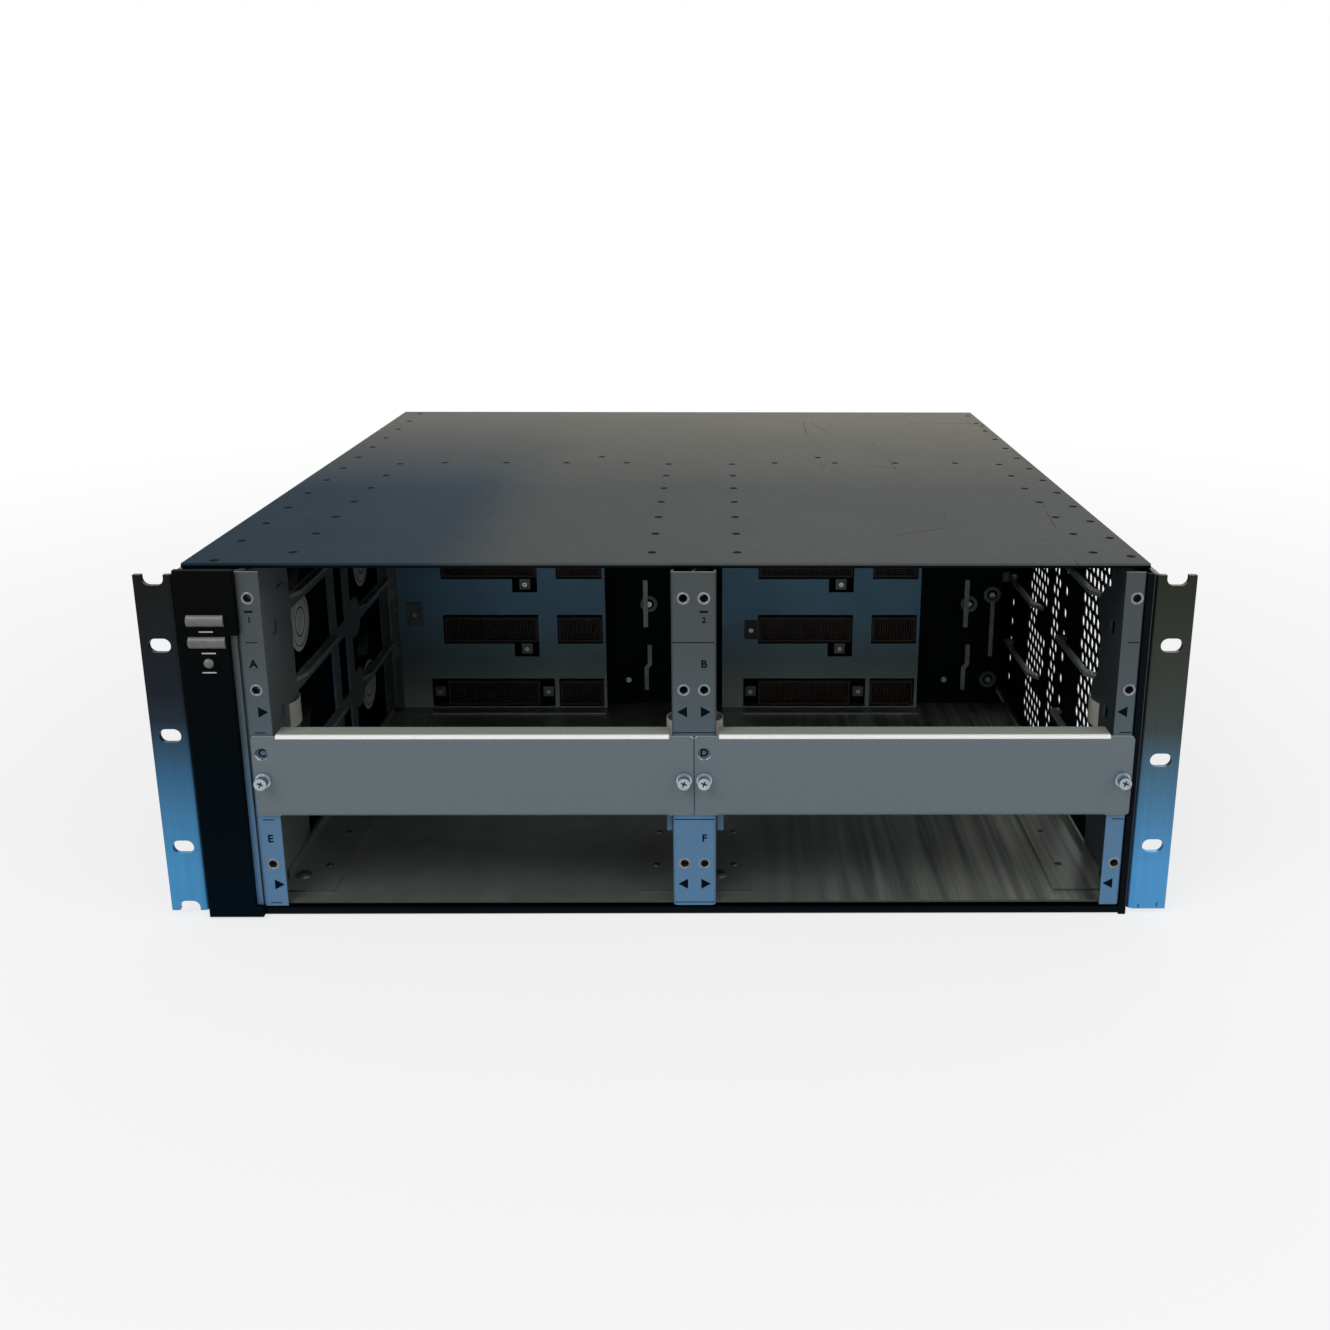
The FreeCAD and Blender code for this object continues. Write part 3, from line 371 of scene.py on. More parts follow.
# Painted shade: the leaves darken to the right.
shade = posts.between(posts.along("X", -0.2, 0.2), grey(1), (0.3, 0.33, 0.36), 0.0, 1.0)
tone = posts.mix(posts.faces_front(), posts.times(leaf, shade), tone)
spray(posts, tone, 0.88, 40, (0.36, 0.5), 0.15)
tell(posts)

# %% [markdown]
# ## Zinc-coated sheet
# The inside is bare sheet with a dull zinc coat. The rolls leave long faint streaks, and the
# zinc freezes in small crystal cells. Both change how dull the metal is and, a little, its
# grey. The guide rails take the same steps with a lighter, smoother zinc.

# %% Zinc sheet
def zinc(name, dark, light, stretch, low=0.34, high=0.52, metallic=0.85):
    made = Finish(name, 0.45, metallic=metallic)
    streaks = made.grain(16, stretch, detail=6)
    crystals = made.between(made.cells(190), (0.86, 0.87, 0.88), grey(1), 0.0, 1.0)
    made.colour(made.times(made.between(streaks, dark, light, 0.36, 0.64), crystals))
    made.gloss_varies(streaks, low, high)
    made.relief(made.grain(600, stretch, detail=3), 0.05)
    return made


sheet = zinc("zinc_sheet", (0.075, 0.085, 0.085), (0.12, 0.132, 0.132), (6, 0.6, 6))
rail_zinc = zinc("zinc_rail", (0.2, 0.215, 0.215), (0.3, 0.315, 0.31), (4, 0.6, 4),
                 0.26, 0.4, 0.25)
tell(sheet, rail_zinc)

# %% [markdown]
# The floor shows its roll streaks mostly on the right, where a painted reflection makes them
# brighter, and the edges that look to the front are dark with painted shade.

# %% Floor zinc
floor_zinc = Finish("zinc_floor", 0.4, metallic=0.8)
streaks = floor_zinc.grain(34, (7, 0.2, 7), detail=3)
even = floor_zinc.between(floor_zinc.grain(60, detail=5), (0.3, 0.325, 0.3), (0.36, 0.385, 0.355))
lined = floor_zinc.between(streaks, (0.25, 0.27, 0.25), (0.52, 0.545, 0.5), 0.38, 0.66)
rolled = floor_zinc.mix(floor_zinc.along("X", 0.03, 0.13), even, lined)
# Painted shade on the faces that look to the front.
painted_shade_edge = floor_zinc.between(streaks, (0.05, 0.055, 0.05), (0.08, 0.085, 0.08), 0.0, 1.0)
floor_zinc.colour(floor_zinc.mix(floor_zinc.faces_front(), rolled, painted_shade_edge))
floor_zinc.gloss_varies(streaks, 0.34, 0.5)
floor_zinc.relief(floor_zinc.grain(600, (9, 0.3, 9)), 0.05)
tell(floor_zinc)

# %% [markdown]
# The upright screen of the backplane runs from a light neutral grey at its foot to a darker
# blue above, with slow clouds over it.

# %% Screen zinc
screen = Finish("zinc_screen", 0.48, metallic=0.7)
tone = screen.blend_colours(screen.along("Z", 0.0, HEIGHT),
                            [(0.05, (0.26, 0.3, 0.27)), (0.15, (0.15, 0.19, 0.19)),
                             (0.24, (0.1, 0.14, 0.16)), (0.43, (0.084, 0.177, 0.257)),
                             (1.0, (0.08, 0.17, 0.25))])
cloud = screen.between(screen.grain(24, (1, 1, 0.5), detail=6), grey(0.85), grey(1))
screen.colour(screen.times(tone, cloud))
screen.gloss_varies(screen.grain(190), 0.42, 0.56)
screen.relief(screen.grain(600), 0.05)
tell(screen)

# %% [markdown]
# ## Plated rack ears
# The ears are thick steel with a clear zinc plate, drawn through a brush along their length,
# so fine lines run from top to bottom. The plate is a dull dark grey above, and a painted blue
# reflection clouds it to a bright blue below; painted light makes the right ear a little
# lighter than the left one.

# %% Ear plate
ears = Finish("zinc_plate_painted_blue_reflection", 0.36, metallic=0.75, specular=0.2)
height = ears.along("Z", 0.0, HEIGHT)
# Painted reflection and painted light: blue towards the foot, and the right ear lighter.
left_tone = ears.blend_colours(height, [(0.14, (0.065, 0.28, 0.54)), (0.3, (0.058, 0.21, 0.4)),
                                        (0.486, (0.033, 0.09, 0.158)),
                                        (0.58, (0.018, 0.028, 0.042)),
                                        (0.66, (0.012, 0.017, 0.024)),
                                        (1.0, (0.009, 0.0105, 0.0085))])
right_tone = ears.blend_colours(height, [(0.14, (0.082, 0.31, 0.62)), (0.3, (0.073, 0.22, 0.39)),
                                         (0.46, (0.062, 0.13, 0.185)),
                                         (0.55, (0.05, 0.066, 0.064)),
                                         (0.68, (0.042, 0.05, 0.042)),
                                         (1.0, (0.022, 0.026, 0.018))])
lines = ears.grain(90, (9, 9, 0.15), detail=3)
brushed = ears.between(lines, grey(0.92), grey(1.03))
ears.colour(ears.times(ears.mix(ears.along("X", -0.2, 0.2), left_tone, right_tone), brushed))
ears.gloss_varies(lines, 0.26, 0.44)
ears.relief(lines, 0.08)
tell(ears)

# %% [markdown]
# ## Small fittings
# Screws are bright plate, and the bowed springs are a paler plate that mirrors less. Both get
# their life from gloss that changes from patch to patch.

# %% Fittings
bright = Finish("bright_plate", 0.24, metallic=1.0)
bright.colour(bright.between(bright.grain(220, detail=4), (0.32, 0.37, 0.42), (0.46, 0.52, 0.58)))
bright.gloss_varies(bright.grain(300, detail=3), 0.18, 0.34)

spring = Finish("bright_spring", 0.3, metallic=0.35)
spring.colour(spring.between(spring.grain(90, detail=4), (0.6, 0.59, 0.51), (0.82, 0.81, 0.71)))
spring.gloss_varies(spring.grain(200), 0.24, 0.36)
tell(bright, spring)

# %% [markdown]
# ## Plastics, board and lenses
# The header blocks are brown-black resin, the board is lacquered green so dark that it is
# nearly black, and the status panel is spark-textured black plastic. The lenses are milky
# resin: a little light goes in and comes out again.

# %% Plastics
plastic = Finish("black_spark_plastic", 0.5, specular=0.015)
# Painted reflection: bluish at the foot and a little paler at the top of the near-black plastic.
plastic.colour(plastic.blend_colours(plastic.along("Z", 0.0, 0.17),
                                     [(0.0, (0.001, 0.005, 0.009)), (0.5, (0.001, 0.0028, 0.004)),
                                      (1.0, (0.003, 0.0035, 0.003))]))
plastic.gloss_varies(plastic.grain(50, detail=4), 0.42, 0.58)
plastic.relief(plastic.grain(1400, detail=3), 0.25, 0.0003)

resin = Finish("header_resin", 0.55, specular=0.35)
resin.colour(resin.between(resin.grain(90, detail=4), (0.016, 0.012, 0.009), (0.034, 0.026, 0.02)))
resin.relief(resin.grain(800), 0.1)

lacquer = Finish("board_lacquer", 0.55, specular=0.04)
lacquer.colour(lacquer.between(lacquer.grain(60, detail=6), (0.001, 0.003, 0.003),
                               (0.003, 0.007, 0.007), 0.4, 0.6))
lacquer.relief(lacquer.cells(420, (0.15, 1, 1)), 0.08, 0.0001)

milk = Finish("milky_lens", 0.35, specular=0.5)
milk.shader.inputs["Subsurface Weight"].default_value = 0.4
milk.shader.inputs["Subsurface Scale"].default_value = 0.002
milk.shader.inputs["Subsurface Radius"].default_value = grey(1)
milk.colour(milk.between(milk.grain(260, detail=4), (0.1, 0.102, 0.095), (0.15, 0.153, 0.143)))
milk.relief(milk.grain(500), 0.05)
tell(plastic, resin, lacquer, milk)

# %% [markdown]
# ## Dress the solids
# The record names a finish for every solid. A table turns those names into the materials
# above, and a few solids that look different on the real chassis are then named one by one.

# %% Assign the finishes
by_slot = {"charcoal_paint": coat, "grey_paint": paint, "galvanised": sheet,
           "plated_steel": bright, "board": lacquer, "connector_plastic": resin,
           "black_plastic": plastic, "lens": milk}
special = {"top_cover": top, "base_pan": coat, "earth_springs": spring, "bay_wall": posts,
           "floor_sheet": floor_zinc, "floor_guides": floor_zinc}
for side in ("left", "centre", "right"):
    special[side + "_post"] = posts
    special[side + "_guide_rails"] = rail_zinc
for side in ("left", "right"):
    special["blank_cover_" + side] = covers
    special["rack_ear_" + side] = ears
    special["backplane_shield_" + side] = screen
for part in frame["record"]["subparts"]:
    name = part["node"]
    mesh = nodes[name].data
    mesh.materials.clear()
    mesh.materials.append(special.get(name, by_slot[part["material_slot"]]).material)

# %% [markdown]
# ## Building blocks for small pieces
# The added pieces are blocks, turned shapes and flat prints. A turned shape is a profile of
# (radius, height) points spun about an axis, and then stood up where it belongs.

# %% Blocks and turned shapes
def add_block(bm, low, high):
    """A block between two drawing places."""
    a, b = place(*low), place(*high)
    size = b - a
    matrix = Matrix.Translation((a + b) / 2) @ Matrix.Diagonal((*size, 1))
    bmesh.ops.create_cube(bm, size=1, matrix=matrix)


def all_joined(verts):
    """The given points with every point that edges join to them."""
    found = set(verts)
    grow = list(verts)
    while grow:
        for edge in grow.pop().link_edges:
            for vert in edge.verts:
                if vert not in found:
                    found.add(vert)
                    grow.append(vert)
    return found


def add_turned(bm, profile, at, toward=(0, -1, 0), steps=24, closed=False):
    """Spin (radius, height) points, in millimetres, about the line from at along toward."""
    turn = Vector(toward).to_track_quat("Z", "Y").to_matrix().to_4x4()
    verts = [bm.verts.new((r / 1000, 0, h / 1000)) for r, h in profile]
    pairs = list(zip(verts, verts[1:])) + ([(verts[-1], verts[0])] if closed else [])
    edges = [bm.edges.new(pair) for pair in pairs]
    bmesh.ops.spin(bm, geom=verts + edges, cent=(0, 0, 0), axis=(0, 0, 1), angle=2 * math.pi,
                   steps=steps, use_merge=True)
    found = list(all_joined(verts))
    bmesh.ops.remove_doubles(bm, verts=found, dist=1e-7)
    found = [v for v in found if v.is_valid]
    bmesh.ops.transform(bm, matrix=Matrix.Translation(at) @ turn, verts=found)
    bmesh.ops.recalc_face_normals(bm, faces=list({f for v in found for f in v.link_faces}))


trial = bmesh.new()
add_turned(trial, [(1, 0), (1, 1)], (0, 0, 0))
print("a tube of", len(trial.verts), "points and", len(trial.faces), "faces")
trial.free()

# %% [markdown]
# A finished shape becomes an object in one go. It rides on a body of the chassis, so that it
# moves with it, and names the kind of finish that it wears. Plates also have their edges
# broken, since no cut edge of real sheet is perfectly sharp.

# %% From shape to piece
def piece(name, bm, finish, body="chassis"):
    mesh = bpy.data.meshes.new(name)
    bm.to_mesh(mesh)
    bm.free()
    mesh.materials.append(finish.material)
    obj = bpy.data.objects.new(name, mesh)
    bpy.context.scene.collection.objects.link(obj)
    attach(obj, body)
    print(name, len(mesh.polygons), "faces")
    return obj


def break_edges(bm):
    bmesh.ops.bevel(bm, geom=bm.edges[:], offset=0.0003, affect="EDGES", segments=2,
                    profile=0.5, material=-1)


# %% [markdown]
# ## Thin perforated walls
# The two side walls are full of hexagonal vents, and daylight shows through them even at a
# low slant, because the real sheet is thin at a punched field. A copy of each wall keeps its
# outside face and its vents, and its inside face is moved out until 0.95 mm is left. The right
# end bars of the board stand a little further over than their solids, so their copy is moved.

# %% Walls and bars
INNER_FACE, MOVED_OUT = 0.22075, 0.00055
BARS_OVER = 0.006


def copy_of(node):
    bm = bmesh.new()
    bm.from_mesh(nodes[node].data)
    bmesh.ops.remove_doubles(bm, verts=bm.verts[:], dist=1e-6)
    return bm


for side, sign in (("left", -1), ("right", 1)):
    bm = copy_of(side + "_side_wall")
    inside = [v for v in bm.verts if abs(v.co.x * sign - INNER_FACE) < 2e-4]
    bmesh.ops.translate(bm, verts=inside, vec=(sign * MOVED_OUT, 0, 0))
    wall = piece("vented_wall_" + side, bm, coat)
    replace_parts(wall, side + "_side_wall")
    print("thinned", len(inside), "points")
bm = copy_of("board_bars")
bmesh.ops.translate(bm, verts=[v for v in bm.verts if v.co.x > 0.05], vec=(BARS_OVER, 0, 0))
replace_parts(piece("end_bars", bm, rail_zinc), "board_bars")

# %% [markdown]
# ## Clinch nuts
# Thin sheet can't hold a thread, so a plated nut is pressed into each post hole. From in
# front its rim shows as a bright ring, with the threaded bore inside. The profile follows
# the nut's section through the sheet, with a ripple for the thread.

# %% Clinch nuts
BORE, THREAD_DEPTH, HALF_PITCH = 1.95, 0.12, 0.45
HOLE_ASIDE, HOLE_UP = 98.9, 21.15
NUT = [(BORE, -0.02), (2.1, 0.12), (2.75, 0.12), (2.95, 0.02), (1.99, 0.0), (1.99, -1.25),
       (3.2, -1.25), (3.2, -5.2), (BORE, -5.2)]
NUT += [(BORE + THREAD_DEPTH * (k % 2), -5.0 + HALF_PITCH * k) for k in range(9)]
bm = bmesh.new()
hole_x = [bay + side * HOLE_ASIDE for bay in BAYS for side in (-1, 1)]
for x in hole_x:
    for line in SLOT_LINES:
        add_turned(bm, NUT, place(x, 0, line + HOLE_UP), steps=20, closed=True)
nickel = Finish("dull_nickel", 0.3, metallic=0.9)
nickel.colour(nickel.between(nickel.grain(260, detail=4), (0.16, 0.18, 0.19), (0.26, 0.28, 0.3)))
piece("clinch_nuts", bm, nickel)

# %% [markdown]
# ## Printed marks
# The posts carry plain letters and digits for the slots, arrows that point at the slot they
# belong to, and a thin line where one slot ends. They are ink, so they are modelled as very
# thin plates: text becomes a mesh first and is then stood up against the post.

# %% Ink, stamp and arrow
INK, ARROW = 0.04, 3.1
UPRIGHT = Matrix.Rotation(math.pi / 2, 4, "X")
ink = Finish("dark_ink", 0.9, specular=0.02)
ink.colour(ink.between(ink.grain(500), (0.002, 0.004, 0.008), (0.004, 0.007, 0.013)))


def stamp(bm, words, x, z, size):
    """Bold plain characters, their middle at a place on the posts, facing the front."""
    curve = bpy.data.curves.new("stamp", "FONT")
    curve.body = words
    curve.size = 1
    curve.align_x = "CENTER"
    curve.align_y = "CENTER"
    curve.offset = 0.03
    curve.extrude = INK / size / 2
    holder = bpy.data.objects.new("stamp", curve)
    bpy.context.scene.collection.objects.link(holder)
    bpy.context.view_layer.update()
    ready = holder.evaluated_get(bpy.context.evaluated_depsgraph_get())
    flat = bpy.data.meshes.new_from_object(ready)
    bpy.data.objects.remove(holder)
    bpy.data.curves.remove(curve)
    to_post = Matrix.Translation(place(x, -INK / 2, z))
    flat.transform(to_post @ (UPRIGHT @ Matrix.Scale(size / 1000, 4)))
    bm.from_mesh(flat)
    bpy.data.meshes.remove(flat)


def arrow(bm, x, z, way):
    """Filled triangle that points left or right."""
    turn = UPRIGHT @ Matrix.Rotation(0 if way > 0 else math.pi, 4, "Z")
    matrix = Matrix.Translation(place(x, -INK / 2, z)) @ turn
    bmesh.ops.create_cone(bm, cap_ends=True, segments=3, radius1=ARROW / 1000,
                          radius2=ARROW / 1000, depth=INK / 1000,
                          matrix=matrix @ Matrix.Rotation(-math.pi / 2, 4, "Z"))


tell(ink)

# %% [markdown]
# The letters are set first, then the digits with a bar over each, the arrows, and the lines.
# All of them go into one shape, because they are printed in one pass.

# %% Post marks
LETTER_ROWS = (129.3, 85.1, 41.0)
DIGIT_ROW, ARROW_ROWS, ARROW_IN = 150.6, (105.8, 16.9), 1.6
left_x, mid_left, mid_right, right_x = hole_x
narrow, wide = 2.7, 9.6
middle_post = 12.05
bm = bmesh.new()
for letters, x, size in (("ACE", left_x, 5.4), ("BDF", mid_right, 5.2)):
    for letter, z in zip(letters, LETTER_ROWS):
        stamp(bm, letter, x, z, size)
for digit, x in (("1", left_x), ("2", mid_right)):
    stamp(bm, digit, x, DIGIT_ROW, 3.8)
    add_block(bm, (x - 1.9, -INK, 154.2), (x + 1.9, 0, 155.2))
for z in ARROW_ROWS:
    arrow(bm, left_x + ARROW_IN, z, 1)
    arrow(bm, mid_left, z, -1)
    arrow(bm, mid_right, z, 1)
    arrow(bm, right_x - ARROW_IN, z, -1)
for line in SLOT_LINES[1:]:
    for x, half in ((left_x, narrow), (right_x, narrow), (middle_post, wide)):
        add_block(bm, (x - half, -INK, line - 0.22), (x + half, 0, line + 0.22))
for x, half in ((left_x, narrow), (middle_post, wide)):
    add_block(bm, (x - half, -INK, LOWEST_LINE + 0.3), (x + half, 0, LOWEST_LINE + 0.7))
piece("post_marks", bm, ink)

# %% [markdown]
# ## Rivets of the top cover
# The guides and frames under the cover hang from rivets whose ends are spun flush. Each one
# shows as a small dimple, dark with painted shade: a shallow ring with a hollow middle, set in
# straight rows above the frames it holds.

# %% Cover rivets
DIMPLE = [(0.0, 0.015), (1.0, 0.015), (1.4, 0.045), (1.95, 0.045), (2.2, 0.0)]
TOP = cad_box[1][2] * 1000
spots = [(x, 28.3 + 36.2 * k) for x in (-177.2, -8.0, 32.3, 201.1) for k in range(7)]
spots += [(x, 249.7) for x in (-149.7, -111.0, -72.7, -34.7, 59.2, 97.4, 135.7, 173.9)]
spots += [(-209.0, 13.6 + 36.3 * k) for k in range(13)]
spots += [(217.0, 21.4 + 35.0 * k) for k in range(13)]
spots += [(-52.2, 270.3), (88.0, 268.3)]
dimple = Finish("dimple_shadow", 0.8, specular=0.02)
dimple.colour(dimple.between(dimple.grain(700), (0.004, 0.005, 0.006), (0.007, 0.008, 0.009)))
bm = bmesh.new()
for x, y in spots:
    add_turned(bm, DIMPLE, place(x, y, TOP), (0, 0, 1), steps=14)
piece("cover_rivets", bm, dimple)

# %% [markdown]
# ## Header pins
# Behind each window of the backplane screen stands a header: a resin block whose well is
# filled with rows of thin blades. A blade is only a tiny block, because there are thousands,
# and what reads from outside is their close vertical grain.

# %% Header pins
PITCH_X, PITCH_Z = 1.55, 1.75
BLADE_FRONT, BLADE_BACK = 256.4, 261.7
HALF_BLADE_X, HALF_BLADE_Z = 0.3, 0.55
blades = Finish("header_blades", 0.42, metallic=0.3)
blades.colour(blades.between(blades.grain(150, detail=3), (0.03, 0.022, 0.014),
                             (0.075, 0.058, 0.038)))


def add_pins(bm, x, z):
    columns = int((x[1] - x[0]) / PITCH_X)
    rows = int((z[1] - z[0]) / PITCH_Z)
    for column in range(columns):
        for row in range(rows):
            px = x[0] + (column + 0.5) * (x[1] - x[0]) / columns
            pz = z[0] + (row + 0.5) * (z[1] - z[0]) / rows
            add_block(bm, (px - HALF_BLADE_X, BLADE_FRONT, pz - HALF_BLADE_Z),
                      (px + HALF_BLADE_X, BLADE_BACK, pz + HALF_BLADE_Z))


for side, bay in zip(("left", "right"), BAYS):
    bm = bmesh.new()
    for row, line in enumerate(SLOT_LINES):
        z = (line + 4.0, line + 18.2)
        if row < 3:
            add_pins(bm, (bay - 64.0, bay - 5.4), z)
        add_pins(bm, (bay + 11.0, bay + 36.8), z)
    piece("header_pins_" + side, bm, blades)

# %% [markdown]
# ## Screws and rings of the backplane
# Cheese-head screws pull the clamps and the board tight. The profile is one half of a head
# with its driver recess, and four of the larger ones sit in a bare ring of the board.

# %% Backplane screws and rings
HEAD = [(0.0, 0.25), (0.7, 0.35), (0.85, 1.05), (1.5, 1.05), (1.8, 0.7), (1.8, 0.0)]
LARGE_HEAD = [(r * 1.25, h) for r, h in HEAD]
RING = [(3.4, 0.0), (3.4, 0.25), (5.6, 0.25), (5.6, 0.0)]
CLAMP_FACE, UNDER_HEAD, BOARD_FACE = 255.8, 263.9, 264.0
BOARD_SCREWS = [(-22.6, 77.2), (-36.8, 24.0), (190.5, 77.2), (175.9, 24.0), (205.7, 24.0),
                (205.6, 83.6)]
bm = bmesh.new()
for bay in BAYS:
    for line in SLOT_LINES[1:3]:
        add_turned(bm, HEAD, place(bay - 11.6, CLAMP_FACE, line - 2.2), steps=16)
    for x in (bay - 70.6, bay + 1.5):
        add_turned(bm, HEAD, place(x, CLAMP_FACE, LOWEST_LINE + 12.0), steps=16)
for x, z in BOARD_SCREWS:
    add_turned(bm, LARGE_HEAD, place(x, UNDER_HEAD, z), steps=18)
piece("backplane_screws", bm, bright)

bm = bmesh.new()
for x, z in BOARD_SCREWS[::2] + BOARD_SCREWS[-1:]:
    add_turned(bm, RING, place(x, BOARD_FACE, z), steps=28, closed=True)
piece("board_rings", bm, sheet)

# %% [markdown]
# A spring clip holds the left screen, the right bay has one more clamp, and a tall slim
# header stands on the board. They are plates with broken edges, and the first two have a
# screw.

# %% Clip, clamp and slim header
PLATE = 0.0011
clip = place(-175.8, 253.4, 73.0)
clamp = place(BAYS[1] - 70.6, 253.4, SLOT_LINES[1] + 11.6)
for name, finish, centre, (half_x, half_z) in (
        ("screen_clip", sheet, clip, (5.2, 8.2)), ("extra_clamp", resin, clamp, (4.2, 6.4)),
        ("slim_header", rail_zinc, place(206.2, 263.4, 59.9), (1.4, 19.2))):
    bm = bmesh.new()
    size = Matrix.Diagonal((half_x / HALF_IN_MM, PLATE, half_z / HALF_IN_MM, 1))
    bmesh.ops.create_cube(bm, size=1, matrix=Matrix.Translation(centre) @ size)
    break_edges(bm)
    piece(name, bm, finish)
bm = bmesh.new()
for centre in (clip, clamp):
    add_turned(bm, HEAD, centre - Vector((0, PLATE / 2, 0)), steps=16)
piece("clip_screws", bm, bright)

# %% [markdown]
# ## Studs of the floor and guides
# The guide strips on the floor are riveted down. These heads stand up a little, so each is a
# low dome, and two larger domes near the front lead a module in.

# %% Floor studs
GUIDE_TOP = 7.8
STUD = [(0.0, 0.8), (0.9, 0.7), (1.6, 0.4), (1.9, 0.0)]
LEAD_IN = [(0.0, 1.6), (2.6, 1.5), (3.8, 0.7), (4.0, 0.0)]
bm = bmesh.new()
for x in (-175.0, -8.1, 31.6, 198.0):
    for k in range(6):
        add_turned(bm, STUD, place(x, 36.3 + 36.2 * k, GUIDE_TOP), (0, 0, 1), steps=14)
for x in (-185.0, 24.0):
    add_turned(bm, LEAD_IN, place(x, 26.0, GUIDE_TOP), (0, 0, 1), steps=24)
piece("floor_studs", bm, sheet)

# %% [markdown]
# ## Fan labels
# The hub of each fan carries a plain pale disc with two thin printed rings. They turn with
# the rotor, so each disc and its rings ride on their own rotor.

# %% Fan labels
PRINT_LOW, PRINT_HIGH = 0.2, 0.24
DISC = [(0.0, 0.2), (6.0, 0.2), (6.0, 0.12), (6.6, 0.12), (6.6, 0.2), (15.2, 0.2), (15.6, 0.0)]
paper = Finish("pale_label", 0.5, specular=0.35)
paper.colour(paper.between(paper.grain(120, detail=4), (0.4, 0.42, 0.42), (0.55, 0.57, 0.57)))
for number in range(1, 5):
    low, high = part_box("fan_rotor_%d" % number)
    centre = Vector((high.x, (low.y + high.y) / 2, (low.z + high.z) / 2))
    bm = bmesh.new()
    add_turned(bm, DISC, centre, (1, 0, 0), steps=40)
    piece("fan_label_%d" % number, bm, paper, "fan_rotor_%d" % number)
    bm = bmesh.new()
    for inner, outer in ((7.2, 7.9), (12.6, 13.1)):
        ring = [(inner, PRINT_LOW), (inner, PRINT_HIGH), (outer, PRINT_HIGH), (outer, PRINT_LOW)]
        add_turned(bm, ring, centre, (1, 0, 0), steps=40, closed=True)
    piece("fan_rings_%d" % number, bm, ink, "fan_rotor_%d" % number)

# %% [markdown]
# ## Driver recesses
# The captive screws take a cross-head driver. A thin face closes each head's socket: it is a
# shallow dish, and two crossed dark bars lie in it as the shadow of the recess.

# %% Cross recesses
DISH = [(0.0, 0.1), (1.2, 0.1), (2.2, 0.36), (2.75, 0.2), (2.75, -0.4)]
BAR, BAR_TURN, BAR_FORWARD = (0.0032, 0.0003, 0.0007), 0.35, 0.00012
shadow = Finish("recess_shadow", 0.6, metallic=0.4)
shadow.colour(shadow.between(shadow.grain(300), (0.01, 0.012, 0.016), (0.03, 0.035, 0.045)))
for number, x in enumerate(hole_x, 1):
    body = "cover_screw_%d" % number
    low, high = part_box(body)
    centre = Vector(((low.x + high.x) / 2, low.y + 0.0004, (low.z + high.z) / 2))
    bm = bmesh.new()
    add_turned(bm, DISH, centre, steps=28)
    piece("screw_face_%d" % number, bm, bright, body)
    bm = bmesh.new()
    for angle in (BAR_TURN, BAR_TURN + math.pi / 2):
        matrix = (Matrix.Translation(centre - Vector((0, BAR_FORWARD, 0)))
                  @ Matrix.Rotation(angle, 4, "Y") @ Matrix.Diagonal((*BAR, 1)))
        bmesh.ops.create_cube(bm, size=1, matrix=matrix)
    piece("screw_cross_%d" % number, bm, shadow, body)

# %% [markdown]
# ## Edge strip beside the panel
# The wall between the fans and the left bay turns a narrow flange to the front, painted like
# the posts. It fills the slit between the status panel and the left post.

# %% Edge strip
bm = bmesh.new()
add_block(bm, (-204.0, -0.15, 1.6), (-196.95, 0.6, 173.4))
piece("edge_strip", bm, posts)

# %% [markdown]
# ## Springs of the middle post
# Beside the middle post, two more bowed springs rub on the modules. A spring is a short edge
# spun through part of a circle, then given its thickness.

# %% Middle springs
BOW, PROUD, SWING = 8.0, 2.9, 2.0
bm = bmesh.new()
for edge, way in ((1.2, -1), (22.9, 1)):
    axis = place(edge + way * (PROUD - BOW), 24.0, 0)
    ends = [bm.verts.new(place(edge + way * PROUD, 24.0, z)) for z in (78.0, 94.0)]
    rail = bm.edges.new(ends)
    bmesh.ops.rotate(bm, verts=ends, cent=axis, matrix=Matrix.Rotation(-SWING / 2, 3, "Z"))
    bmesh.ops.spin(bm, geom=ends + [rail], cent=axis, axis=(0, 0, 1), angle=SWING, steps=12)
bmesh.ops.recalc_face_normals(bm, faces=bm.faces[:])
bmesh.ops.solidify(bm, geom=bm.faces[:], thickness=0.0004)
piece("middle_springs", bm, spring)

# %% [markdown]
# Two small upright flaps close the gap beside the middle post, at the line between the two
# lowest slots. They are plates with their edges broken.

# %% Middle flaps
bm = bmesh.new()
for left, right in ((-1.4, 1.4), (22.7, 26.0)):
    add_block(bm, (left, 9.0, 40.7), (right, 10.0, 60.0))
break_edges(bm)
piece("middle_flaps", bm, posts)

# %% [markdown]
# ## Ends of the ears
# Each ear ends in half a slot, so the corners of its end notches are round. A corner filler is
# one short edge spun a quarter turn about the middle of the rounding, and joined by flat
# faces to the sharp corner that it fills.

# %% Corner filler
ROUND, NOTCH, EAR_MIDDLE = 3.4, 5.0, 232.55
EAR_FACES = (0, 2.5)
SAME = 1e-6


